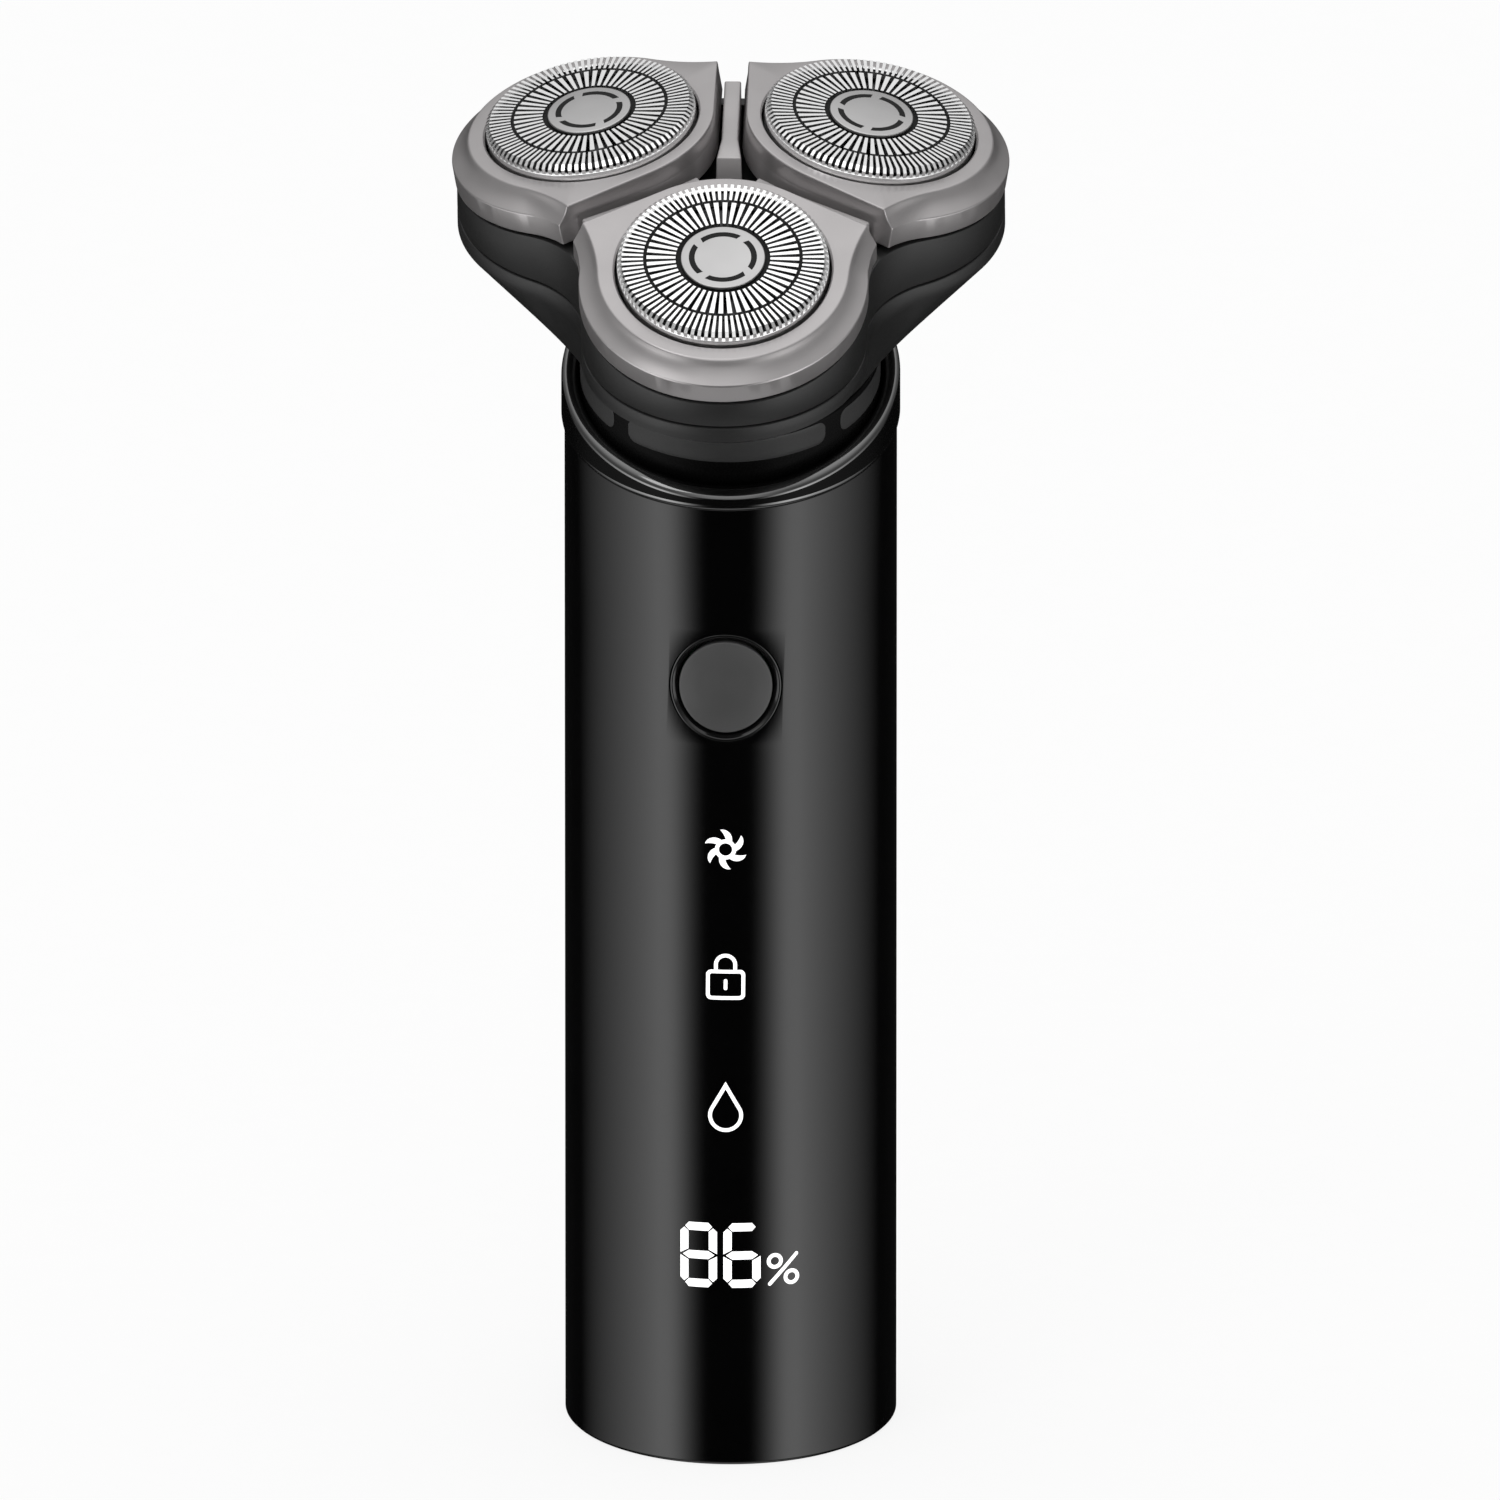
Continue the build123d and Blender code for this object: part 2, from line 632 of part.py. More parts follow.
def power_button():
    stem = plug(BUTTON_RADIUS, -BODY_RADIUS - PAST, BUTTON_FLANGE, BUTTON_HEIGHT)
    stem = stem & disc(BODY_RADIUS - BUTTON_INSET, 0, BODY_HEIGHT)
    back = BUTTON_FLANGE + FLANGE_THICK
    return stem + plug(BUTTON_RADIUS + FLANGE_LIP, BUTTON_FLANGE, back, BUTTON_HEIGHT)


def lobe_section(level, inset=0.0):
    """Outline of a lobe at one level, taken in by an inset."""
    share = min(1.0, (LOBE_TOP - level) / (LOBE_TOP - LOBE_SKIRT))

    def between(pair):
        return pair[0] + share * (pair[1] - pair[0])

    return lobe_outline(between(LOBE_SPREADS), between(LOBE_RADII) - inset,
                        between(EAR_REACH) - inset, between(HALF_GAPS) + inset)


def lobe_cavity():
    """Hollow under a lobe's top plate."""
    levels = (LOBE_TOP - LOBE_PLATE, LOBE_SKIRT, LOBE_BOTTOM - PAST)
    return stack([(lobe_section(level, LOBE_WALL), level) for level in levels])


def lobe_frame(number):
    cover = stack([(lobe_section(level), level) for level in (LOBE_TOP, LOBE_SKIRT, LOBE_BOTTOM)])
    cover = fillet(cover.faces().sort_by(Axis.Z)[-1].edges(), LOBE_EDGE)
    cover = cover - lobe_cavity() - disc(FOIL_RADIUS + FOIL_GAP, LOBE_BOTTOM, PAST)
    return lobe(number) * cover


def retaining_frame(number):
    """Plate under the foil, with two lugs that hang on the tilt pins and a skirt inside the shell's rim."""
    low, high = RETAINER_LEVELS
    plate = lobe_cavity() & disc(THROUGH, low, high)
    plate -= disc(RETAINER_BORE, low - PAST, high + PAST)
    outer, inner = [lobe_section(low, inset) for inset in SKIRT_INSETS]
    skirt = prism(outer, SKIRT_BOTTOM, low) - prism(inner, SKIRT_BOTTOM - PAST, low)
    skirt -= block((-SKIRT_NOTCH, SKIRT_NOTCH), (-THROUGH, THROUGH), (SKIRT_BOTTOM - PAST, low))
    lug = block((-LUG_HALF, LUG_HALF), (LUG_NEAR, LUG_FAR), (TILT_AXIS - LUG_DROP, high))
    lug -= plug(PIN_RADIUS + RUNNING_FIT, 0, THROUGH, TILT_AXIS)
    return lobe(number) * (plate + skirt + lug + mirror(lug, Plane.XZ))


def tilt_pins():
    pin = plug(PIN_RADIUS, PIN_NEAR, PIN_FAR, TILT_AXIS)
    pins = []
    for number in range(3):
        pins += [lobe(number) * pin, lobe(number) * mirror(pin, Plane.XZ)]
    return Compound(pins)


def foil_disc(number):
    plate = disc(FOIL_RADIUS, -FOIL_THICK, 0)
    plate = chamfer(rim_edges(plate, FOIL_RADIUS)[-1:], FOIL_CHAMFER)
    plate += ring(FOIL_RADIUS, FOIL_RADIUS - FOIL_WALL, FLANGE_TOP - FOIL_WALL, -FOIL_THICK)
    plate += ring(FOIL_FLANGE, FOIL_RADIUS - FOIL_WALL, FLANGE_TOP - FOIL_WALL, FLANGE_TOP)
    plate -= ring(TRACK_SPLIT + GROOVE_HALF, TRACK_SPLIT - GROOVE_HALF, -GROOVE_DEPTH, PAST)
    plate -= disc(CAP_RECESS, -CAP_SINK, PAST)
    return lobe(number) * (plate - disc(CAP_STEM, -FOIL_THICK - PAST, PAST))


def foil_cap(number):
    cap = disc(CAP_RADIUS, -CAP_SINK, CAP_RISE) + disc(CAP_STEM, -FOIL_THICK, 0)
    cap = chamfer(rim_edges(cap, CAP_RADIUS)[-1:], CAP_RISE)
    arcs = ring(CAP_ARC + ARC_HALF, CAP_ARC - ARC_HALF, CAP_RISE - ARC_DEPTH, PAST)
    bridge = block((-CAP_RADIUS, CAP_RADIUS), (-ARC_BRIDGE, ARC_BRIDGE), (-PAST, 2 * PAST))
    for angle in (45, -45):
        arcs -= Rot(0, 0, angle) * bridge
    return lobe(number) * (cap - arcs)


def inner_cutter(number):
    """Ring of blades on a carrier, with a wide hexagonal socket for the spindle."""
    floor = CUTTER_TOP - CUTTER_DEPTH
    carrier_top = floor + CARRIER_THICK
    cutter = disc(CUTTER_RADIUS, floor, carrier_top)
    cutter += ring(CUTTER_RADIUS, TRACK_SPLIT + BLADE_INSET, floor, CUTTER_TOP)
    cutter += ring(TRACK_SPLIT - BLADE_INSET, CAP_RECESS + BLADE_INSET, floor, CUTTER_TOP)
    slit = block((CAP_RECESS, CUTTER_RADIUS + PAST), (-SLIT_HALF, SLIT_HALF), (carrier_top, PAST))
    for blade in range(BLADES):
        cutter -= Rot(0, 0, 360 / BLADES * blade) * slit
    cutter += disc(HUB_RADIUS, HUB_BOTTOM, carrier_top)
    return lobe(number) * (cutter - hexagon(SOCKET_FLATS, HUB_BOTTOM - PAST, floor))


def drive_gear(number):
    """Driven gear with its pivot below and its spindle above."""
    gear = involute_gear(DRIVEN_TEETH, GEAR_BOTTOM, GEAR_TOP)
    gear = Rot(0, 0, 180 + 180 / DRIVEN_TEETH) * gear
    gear += disc(PIVOT_RADIUS, PLATE_BOTTOM, GEAR_BOTTOM)
    gear += disc(JOURNAL_RADIUS, GEAR_TOP, DECK_TOP + JOURNAL_RISE)
    gear += disc(SPINDLE_RADIUS, GEAR_TOP, SPINDLE_SHOULDER)
    gear += hexagon(TIP_FLATS, GEAR_TOP, SPINDLE_TIP)
    return spoke(number) * Pos(GEAR_SPREAD, 0, 0) * gear


def centre_gear():
    gear = involute_gear(CENTRE_TEETH, GEAR_BOTTOM, GEAR_TOP)
    gear = Rot(0, 0, LOBE_ANGLES[0]) * gear
    gear += disc(CENTRE_HUB_RADIUS, CENTRE_HUB_BOTTOM, GEAR_BOTTOM)
    gear += disc(PIVOT_RADIUS, GEAR_TOP, DECK_TOP - JOURNAL_RISE)
    socket_top = COUPLING_TOP + COUPLING_HEADROOM
    return HEAD * (gear - hexagon(COUPLING_FLATS + COUPLING_PLAY, CENTRE_HUB_BOTTOM - PAST, socket_top))


def wedge_cut(number):
    """Space above a lobe's sector of the shell, at rest and fully tilted."""
    corner = (THROUGH - LOBE_SPREAD, 2 * THROUGH * SIN60)
    sector = Wire.make_polygon([Vector(*point) for point in ((-LOBE_SPREAD, 0), flip(corner), corner)])
    space = prism(sector, LOBE_BOTTOM - SHADOW_GAP, THROUGH)
    pivot = Pos(0, 0, TILT_AXIS)
    tilted = pivot * Rot(0, -TILT_RANGE, 0) * pivot.inverse() * space
    return [lobe(number) * space, lobe(number) * tilted]


def head_upper_shell():
    """Band under the lobes with its deck, pin bosses and screw posts."""
    shell = HEAD * prism(trefoil(BASE_RADIUS, BASE_REACH), PARTING, 0)
    shell -= HEAD * prism(trefoil(BASE_RADIUS - SHELL_WALL, BASE_REACH - SHELL_WALL), DECK_TOP, PAST)
    boss = block((-BOSS_HALF, BOSS_HALF), (BOSS_NEAR, BASE_RADIUS - BOSS_INSET),
                 (TILT_AXIS - BOSS_DROP, LOBE_BOTTOM - BOSS_CLEAR))
    hole = plug(PIN_RADIUS, -PIN_FAR, PIN_FAR, TILT_AXIS)
    for number in range(3):
        shell += lobe(number) * boss
        shell += lobe(number) * mirror(boss, Plane.XZ)
        shell -= lobe(number) * hole
        for cut in wedge_cut(number):
            shell -= cut
        journal = spoke(number) * Pos(GEAR_SPREAD, 0, 0)
        shell -= journal * disc(JOURNAL_RADIUS + RUNNING_FIT, PARTING - PAST, 0)
        post = spoke(number) * Pos(*polar(POST_CIRCLE, 60))
        shell += post * disc(POST_RADIUS, PLATE_TOP, PARTING)
        shell -= post * disc(SCREW_RADIUS, PLATE_TOP - PAST, PARTING)
    shell -= HEAD * disc(PIVOT_RADIUS + RUNNING_FIT, PARTING - PAST, 0)
    return shell


def head_lower_shell():
    """Funnel from the three-lobed band down to the round neck."""
    def cone(sections, foot_radius, foot_level):
        levels = [(trefoil(BASE_RADIUS - drop, BASE_REACH - drop), level) for drop, level in sections]
        last_drop = sections[-1][0]
        foot = trefoil(BASE_RADIUS - last_drop, BASE_REACH - last_drop, foot_radius)
        return stack([*levels, (foot, foot_level)])

    funnel = cone(FUNNEL_OUTER, NECK_RADIUS, FUNNEL_BOTTOM)
    funnel -= cone(FUNNEL_INNER, NECK_RADIUS - FUNNEL_WALL, FUNNEL_BOTTOM + FUNNEL_FLOOR)
    return HEAD * (funnel - disc(SEAT_RADIUS + SEAT_PLAY, FUNNEL_BOTTOM - PAST, PARTING))


def keeper_ring():
    level = FUNNEL_BOTTOM + FUNNEL_FLOOR
    outer, inner = MAGNET_CIRCLE + MAGNET_RADIUS, MAGNET_CIRCLE - MAGNET_RADIUS
    return HEAD * ring(outer, inner, level, level + KEEPER_THICK)


def gear_plate():
    plate = prism(trefoil(PLATE_LOBE, PLATE_REACH), PLATE_BOTTOM, PLATE_TOP)
    plate -= disc(CENTRE_HUB_RADIUS + RUNNING_FIT, PLATE_BOTTOM - PAST, 0)
    pivot = disc(PIVOT_RADIUS + RUNNING_FIT, PLATE_BOTTOM - PAST, 0)
    for angle in LOBE_ANGLES:
        plate -= Pos(*polar(GEAR_SPREAD, angle)) * pivot
        plate -= Pos(*polar(POST_CIRCLE, angle + 60)) * disc(SCREW_RADIUS, PLATE_BOTTOM - PAST, 0)
    return HEAD * plate


def plate_screws():
    fixing = Pos(0, 0, PLATE_BOTTOM) * Rot(180, 0, 0) * screw(SCREW_HOLE)
    return Compound([HEAD * Pos(*polar(POST_CIRCLE, angle + 60)) * fixing for angle in LOBE_ANGLES])


def gap_spider():
    """Three ribs that stand in the gaps between the lobes, joined by a ring on the deck."""
    root, start, finish = RIB_SPAN
    half_plan = [(root, RIB_FLARE), (RIB_NARROW, RIB_HALF), (finish, RIB_HALF)]
    plan = half_plan + [flip(point) for point in reversed(half_plan)]
    wide = (-THROUGH, THROUGH)
    rib = prism(Wire.make_polygon([Vector(*point) for point in plan]), DECK_TOP, 0)
    rib -= Location((start, 0, RIB_TOP), (0, RIB_FALL, 0)) * block(wide, wide, (0, THROUGH))
    rib -= Location((start, 0, RIB_TOP), (0, RIB_SLANT, 0)) * block((-THROUGH, 0), wide, wide)
    outer, inner, thick = SPIDER_RING
    spider = ring(outer, inner, DECK_TOP, DECK_TOP + thick)
    for angle in LOBE_ANGLES:
        spider += Rot(0, 0, angle + 60) * rib
    return HEAD * spider


def write_all():
    os.makedirs("parts", exist_ok=True)
    single = (
        body_sleeve, neck_collar, neck_housing, neck_panels, seat_magnets, shaft_seal,
        motor_mount, motor_screws, motor_can, motor_armature, motor_shaft, drive_coupling,
        base_cap, base_seal, charge_socket, chassis, battery_cell, battery_tabs,
        main_board, board_screws, display_module, light_guide, tact_switch,
        button_bezel, power_button, tilt_pins, centre_gear, head_upper_shell,
        head_lower_shell, keeper_ring, gear_plate, plate_screws, gap_spider)
    for make in single:
        export_step(make(), f"parts/{make.__name__}.step")
    for make in (lobe_frame, retaining_frame, foil_disc, foil_cap, inner_cutter, drive_gear):
        for number, place in enumerate(("front", "right", "left")):
            export_step(make(number), f"parts/{make.__name__}_{place}.step")


write_all()
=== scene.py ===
import json
import math

import bmesh
import bpy
from mathutils import Matrix, Vector


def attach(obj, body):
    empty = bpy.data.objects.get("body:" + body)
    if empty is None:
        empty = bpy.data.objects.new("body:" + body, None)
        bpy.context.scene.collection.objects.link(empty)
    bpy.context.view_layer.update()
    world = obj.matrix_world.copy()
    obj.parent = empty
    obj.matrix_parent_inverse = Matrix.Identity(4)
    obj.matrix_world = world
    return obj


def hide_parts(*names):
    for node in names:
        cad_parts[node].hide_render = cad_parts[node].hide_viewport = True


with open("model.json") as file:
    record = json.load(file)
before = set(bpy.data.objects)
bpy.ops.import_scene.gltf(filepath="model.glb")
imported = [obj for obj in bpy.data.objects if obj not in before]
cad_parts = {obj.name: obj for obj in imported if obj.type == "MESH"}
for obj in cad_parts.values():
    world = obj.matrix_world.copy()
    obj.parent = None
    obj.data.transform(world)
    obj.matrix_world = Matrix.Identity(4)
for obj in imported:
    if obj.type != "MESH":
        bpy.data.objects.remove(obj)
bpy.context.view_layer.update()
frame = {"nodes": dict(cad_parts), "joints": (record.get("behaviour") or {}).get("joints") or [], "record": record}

# Sizes are written in millimetres and turned into metres by MM
MM = 0.001
SMOOTH_ANGLE = 35.0
PLACES = ("front", "right", "left")
SIN60 = math.sin(math.radians(60))
SPOKES = [math.radians(-90 + 120 * number) for number in range(3)]

# Handle
BODY_RADIUS = 19.0
BODY_HEIGHT = 117.0
BODY_WALL = 1.6
BODY_FOOT = 0.4
COLLAR_RADIUS = 19.35
COLLAR_BORE = 17.45
COLLAR_SLOPE = 24.0
COLLAR_FRONT = 118.6
COLLAR_LIP = 0.85
COLLAR_GAP = 0.03
COLLAR_TUCK = 0.5
COLLAR_BAND_LIFT = 0.02
COLLAR_BAND_DEPTH = 0.2
SEAM_SLOPE = 14.0
SEAM_FRONT = 116.4
HOLE_MARGIN = 0.6

# Button and its bezel; the rings across the button's face let it bend round the handle
BUTTON_HEIGHT = 94.8
BUTTON_RADIUS = 5.5
BUTTON_RINGS = (5.5, 5.0, 3.5, 1.5, 0.5)
BUTTON_SINK = 0.15
BUTTON_DEPTH = 2.9
BUTTON_GAP = 0.3
BEZEL_RADIUS = 6.5
BEZEL_FIT = 0.02
BEZEL_LAND = 0.3
BEZEL_LIFT = 0.03
BEZEL_SLOPE = 0.5
BEZEL_DEPTH = 1.5

# Signs on the front of the handle
FAN_HEIGHT = 75.2
LOCK_HEIGHT = 59.7
DROP_HEIGHT = 43.8
DIGITS_HEIGHT = 25.7
SIGN_LIFT = 0.03
SIGN_DEPTH = 0.05
SIGN_STROKE = 0.43
FAN_HUB = (1.22, 0.76)
FAN_BLADES = 6
BLADE_ROOT = 1.2
BLADE_LENGTH = 1.25
BLADE_TURN = 88
BLADE_LEAD = 16
BLADE_LAG = 36
LOCK_HALF = 2.25
LOCK_LEVELS = (-2.8, 0.85)
LOCK_CORNERS = (0.65, 0.3)
SHACKLE_RADIUS = 1.32
SHACKLE_LEVELS = (0.65, 2.8)
KEYHOLE_LEVELS = (-1.4, -0.5)
DROP_BELLY = 2.0
DROP_LEVELS = (-1.0, 3.1)
DIGIT_SIZE = (4.27, 7.87, 0.98)
DIGIT_PITCH = 5.0
DIGITS_LEFT = -5.25
SEGMENT_CUT = 1.0
SEGMENT_TIP = 0.57
MIDDLE_TIP = 0.3
POST_TIP = (0.46, 0.66)
POST_WIDTH = 0.95
POST_START = 1.1
POST_ENDS = (0.67, 0.14)
PERCENT_TOP = 0.1
PERCENT_RING = (0.95, 0.5)
PERCENT_SPOTS = ((0.95, 1.0), (2.95, 3.1))
PERCENT_SLASH = ((0.36, 3.75), (3.55, 0.35))
PERCENT_HALF = 0.22

# Neck, in the head frame
NECK_RADIUS = 17.1
NECK_TOP = -26.6
NECK_BOTTOM = -37.5
NECK_WALL = 1.5
NECK_ROOF = 2.4
SEAT_RADIUS = 8.0
SEAT_HEIGHT = 1.4
SEAT_WALL = 2.0
SHAFT_HOLE = 4.0
PANEL_HALF_ANGLE = 41.0
PANEL_LEVELS = (-30.1, -27.1)
PANEL_CORNER = 1.1
PANEL_LIFT = 0.06
PANEL_DEPTH = 0.4

# Head shells, in the head frame; a round is a row of pairs, height from the edge and inset
OUTLINE_POINTS = 300
BASE_SPREAD = 17.3
BASE_RADIUS = 16.3
BASE_REACH = 20.5
SHELL_WALL = 1.6
SHELL_FLANGE = 4.0
DECK_TOP = -11.6
DECK_HOLE = 12.0
PARTING = -13.0
PARTING_HALF = 0.06
PARTING_ROUND = ((0, 0.35), (0.12, 0.1), (0.35, 0))
RIM_ROUND = ((0.4, 0), (0.12, 0.08), (0, 0.35))
SHOULDER = -15.0
SHOULDER_EDGE = 0.6
FUNNEL_BOTTOM = -26.4
FUNNEL_ROUND = ((0, 0.9), (0.1, 0.25), (0.4, 0))
FUNNEL_CURVE = 0.85
FUNNEL_STEPS = 12
FLOOR_SHRINK = 0.95
FUNNEL_PROUD = 0.05
SEAT_GAP = 0.25

# Lobes, in each lobe's frame; pairs are top and skirt
LOBE_SPREAD = 18.6
LOBE_CANT = 10.0
LOBE_TOP = -1.7
LOBE_SKIRT = -3.9
LOBE_BOTTOM = -6.6
LOBE_PLATE = 1.6
LOBE_WALL = 1.0
LOBE_EDGE = 0.2
LOBE_CREASE = 0.12
LOBE_ROLL = 0.3
FLANK_HOLLOW = 0.12
FLANK_STEPS = 9
LOBE_SPREADS = (18.6, 18.2)
LOBE_RADII = (14.3, 16.5)
EAR_REACH = (19.8, 20.9)
HALF_GAPS = (1.95, 1.8)
SHADOW_GAP = 0.35
TILT_RANGE = 4.0

# Ribs in the gaps between the lobes, in the head frame; the span is root, start and end
RIB_SPAN = (1.0, 3.3, 18.4)
RIB_HALF = 0.95
RIB_FLARE = 1.8
RIB_NARROW = 6.0
RIB_TOP = -2.0
RIB_FALL = 1.0
RIB_SLANT = 12.0

# Foils, in each lobe's frame; levels are top and bottom, and a fill is the share that is metal
FOIL_RADIUS = 12.1
FOIL_GAP = 0.3
FOIL_FIT = 0.05
FOIL_WALL = 0.6
FOIL_WALL_LEVELS = (-1.05, -3.3)
TRACK_SPLIT = 8.9
TRACK_GAP = 0.2
BAR_DEPTH = 0.55
BAR_SLOPE = (0.5, 0.45)
BAR_DROP = 1.2
BAR_TAPER = 0.1
OUTER_SLOTS = 94
OUTER_FILL = 0.50
INNER_SLOTS = 52
INNER_FILL = 0.53
GROOVE_LEVELS = (-0.5, -0.8)
GROOVE_LAP = 0.1
WELL_RADIUS = 2.4

# Caps, in each lobe's frame
CAP_RECESS = 5.3
CAP_MARGIN = 0.1
CAP_RADIUS = 4.8
CAP_RISE = 0.15
CAP_STEM = 2.2
CAP_STEM_LEVELS = (-0.28, -0.8)
CAP_CENTRE = 0.5
CAP_ARC = 3.55
ARC_HALF_WIDTH = 0.33
ARC_HALF_ANGLE = 38.5
ARC_TURN = 8
ARC_SINK = 0.1
ARC_LIFT = 0.012

# Light round the part: degrees from the front, then a power; heights run from -1 below to 1 above
BAND_LIGHT = 2.9
BAND_RISE = (12, 45, 1.5)
BAND_FALL = (130, 50, 1.7)
BAND_TOP = (0.12, -0.05)
BAND_FOOT = (-0.8, -0.55)
FRONT_LIGHT = 0.72
FRONT_SIDES = (38, 8)
TOP_LIGHT = 1.3
TOP_HEIGHTS = (0.3, 1.0)
ROOM_LIGHT = 0.3
ROOM_HEIGHTS = (0.0, 0.15)
FLOOR_LIGHT = 0.55
FLOOR_HEIGHTS = (-0.8, -0.95)
FILL_LIGHT = 0.01

# Floor and lamp, in metres and watts; the glow is the share of white that the camera sees there
FLOOR_SIZE = 3
FLOOR_GLOW = 0.85
KEY_SPOT = (-0.5, -0.7, 0.9)
KEY_TARGET = (0, 0, 0.1)
KEY_SIZE = 0.5
KEY_POWER = 1.2

# Camera: degrees to the side and up, distance in metres
CAMERA_SIDE = 1.8
CAMERA_UP = 20.0
CAMERA_DISTANCE = 8.0
CAMERA_TARGET = (2.2, 0, 80.4)
CAMERA_SENSOR = 36
CAMERA_NEAR = 0.05
FRAME_WIDTH = 171.7


# Frames read from the joints
joints = {joint["name"]: joint for joint in frame["joints"]}


def frame_of(position, x_axis, y_axis, z_axis):
    """Placement with its origin and axes in the row frame; its own units are millimetres."""
    turn = Matrix((x_axis, y_axis, z_axis)).transposed().to_4x4()
    return Matrix.Translation(position) @ turn @ Matrix.Scale(MM, 4)


def head_frame():
    """Origin at the centre of the three foils, z along the head axis."""
    spin = joints["motor_spin"]
    z_axis = Vector(spin["axis"]).normalized()
    x_axis = Vector((1, 0, 0))
    return frame_of(spin["pos_m"], x_axis, z_axis.cross(x_axis), z_axis)


def lobe_frame(place):
    """Origin at a foil's centre, x outwards and z along the foil's axis."""
    spin = joints[f"cutter_{place}_spin"]
    z_axis = Vector(spin["axis"]).normalized()
    y_axis = -Vector(joints[f"lobe_{place}_tilt"]["axis"]).normalized()
    return frame_of(spin["pos_m"], y_axis.cross(z_axis), y_axis, z_axis)


HANDLE = Matrix.Scale(MM, 4)
HEAD = head_frame()
LOBES = {place: lobe_frame(place) for place in PLACES}


# Modelling tools
def edit(piece):
    """Goes into edit mode on one piece alone, with everything in it selected."""
    bpy.ops.object.select_all(action="DESELECT")
    piece.select_set(True)
    bpy.context.view_layer.objects.active = piece
    bpy.ops.object.mode_set(mode="EDIT")
    bpy.ops.mesh.select_all(action="SELECT")


def leave(piece):
    """Merges doubles, turns the faces outwards and leaves edit mode with smooth shading."""
    bpy.ops.mesh.select_all(action="SELECT")
    bpy.ops.mesh.remove_doubles(threshold=1e-7)
    bpy.ops.mesh.normals_make_consistent(inside=False)
    bpy.ops.object.mode_set(mode="OBJECT")
    bpy.ops.object.shade_smooth_by_angle(angle=math.radians(SMOOTH_ANGLE))
    return piece


def name_piece(name):
    """The object that an operator has just made, under its own name."""
    piece = bpy.context.object
    piece.name = name
    piece.data.name = name
    return piece


def pull_rings(name, rings, placement, ends="open"):
    """Draws a circle and pulls its edge out ring by ring; the two ends stay open or are filled."""
    bpy.ops.object.select_all(action="DESELECT")
    bpy.ops.mesh.primitive_circle_add(vertices=len(rings[0]), radius=1)
    piece = name_piece(name)
    edit(piece)
    shape = bmesh.from_edit_mesh(piece.data)
    order = shape.verts.layers.int.new("order")
    for number, vert in enumerate(shape.verts):
        vert[order] = number
    bmesh.update_edit_mesh(piece.data)
    for turn, ring in enumerate(rings):
        if turn:
            bpy.ops.mesh.extrude_edges_move()
        elif ends == "filled":
            bpy.ops.mesh.edge_face_add()
        shape = bmesh.from_edit_mesh(piece.data)
        order = shape.verts.layers.int["order"]
        for vert in shape.verts:
            if vert.select:
                vert.co = placement @ Vector(ring[vert[order]])
        bmesh.update_edit_mesh(piece.data)
        if turn == 0 and ends == "filled":
            bpy.ops.mesh.select_mode(type="EDGE")
    if ends == "filled":
        bpy.ops.mesh.edge_face_add()
    bpy.ops.mesh.select_mode(type="VERT")
    return leave(piece)


def circle(radius, level, count=128):
    """Ring of points on a circle at a level."""
    steps = [2 * math.pi * step / count for step in range(count)]
    return [(radius * math.cos(angle), radius * math.sin(angle), level) for angle in steps]


def soften(profile, radius, steps=4):
    """Profile with its inner corners rounded by short curves."""
    longest = 0.45
    points = [Vector(point) for point in profile]
    smooth = [points[0]]
    for before, corner, after in zip(points, points[1:], points[2:]):
        reach = min(radius, (before - corner).length * longest, (after - corner).length * longest)
        start = corner + (before - corner).normalized() * reach
        end = corner + (after - corner).normalized() * reach
        for step in range(steps + 1):
            share = step / steps
            smooth.append(start.lerp(corner, share).lerp(corner.lerp(end, share), share))
    return smooth + [points[-1]]


def turned(name, profile, placement, round_off=0.2, count=128, ends="joined"):
    """Piece turned from a profile of radii and levels, which is joined up or has its ends filled."""
    closed = list(profile)
    if ends == "joined":
        closed = [Vector(profile[0]).lerp(Vector(profile[1]), 0.5), *profile[1:], profile[0]]
        closed.append(closed[0])
    rings = [circle(radius, level, count) for radius, level in soften(closed, round_off)]
    return pull_rings(name, rings, placement, "filled" if ends == "filled" else "open")


def cut_with(piece, cutter):
    """Cuts another object out of a piece and deletes that object."""
    bpy.ops.object.select_all(action="DESELECT")
    piece.select_set(True)
    bpy.context.view_layer.objects.active = piece
    change = piece.modifiers.new("cut", "BOOLEAN")
    change.object = cutter
    change.operation = "DIFFERENCE"
    change.solver = "EXACT"
    bpy.ops.object.modifier_apply(modifier=change.name)
    bpy.data.objects.remove(cutter)


def bevel_piece(piece, width, segments=3, angle=30.0):
    """Rounds the sharp edges of a finished piece."""
    bpy.ops.object.select_all(action="DESELECT")
    piece.select_set(True)
    bpy.context.view_layer.objects.active = piece
    change = piece.modifiers.new("round", "BEVEL")
    change.width = width * MM
    change.segments = segments
    change.limit_method = "ANGLE"
    change.angle_limit = math.radians(angle)
    bpy.ops.object.modifier_apply(modifier=change.name)
    bpy.ops.object.shade_smooth_by_angle(angle=math.radians(SMOOTH_ANGLE))


def wrap_on_handle(piece):
    """Bends what is flat on the front plane round the handle, keeping its depth."""
    for vert in piece.data.vertices:
        x, y, z = vert.co
        radius = -y
        angle = x / (BODY_RADIUS * MM)
        vert.co = (radius * math.sin(angle), -radius * math.cos(angle), z)


def dress(piece, body, material, slot, *nodes):
    """Gives a piece its finish, the body it rides on and the nodes it stands for."""
    piece.data.materials.clear()
    piece.data.materials.append(material)
    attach(piece, body)
    if nodes:
        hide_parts(*nodes)


# Finishes
def new_material(name):
    """Empty node material: the material, its node tree and its shader."""
    material = bpy.data.materials.new(name)
    material.use_nodes = True
    return material, material.node_tree, material.node_tree.nodes["Principled BSDF"]


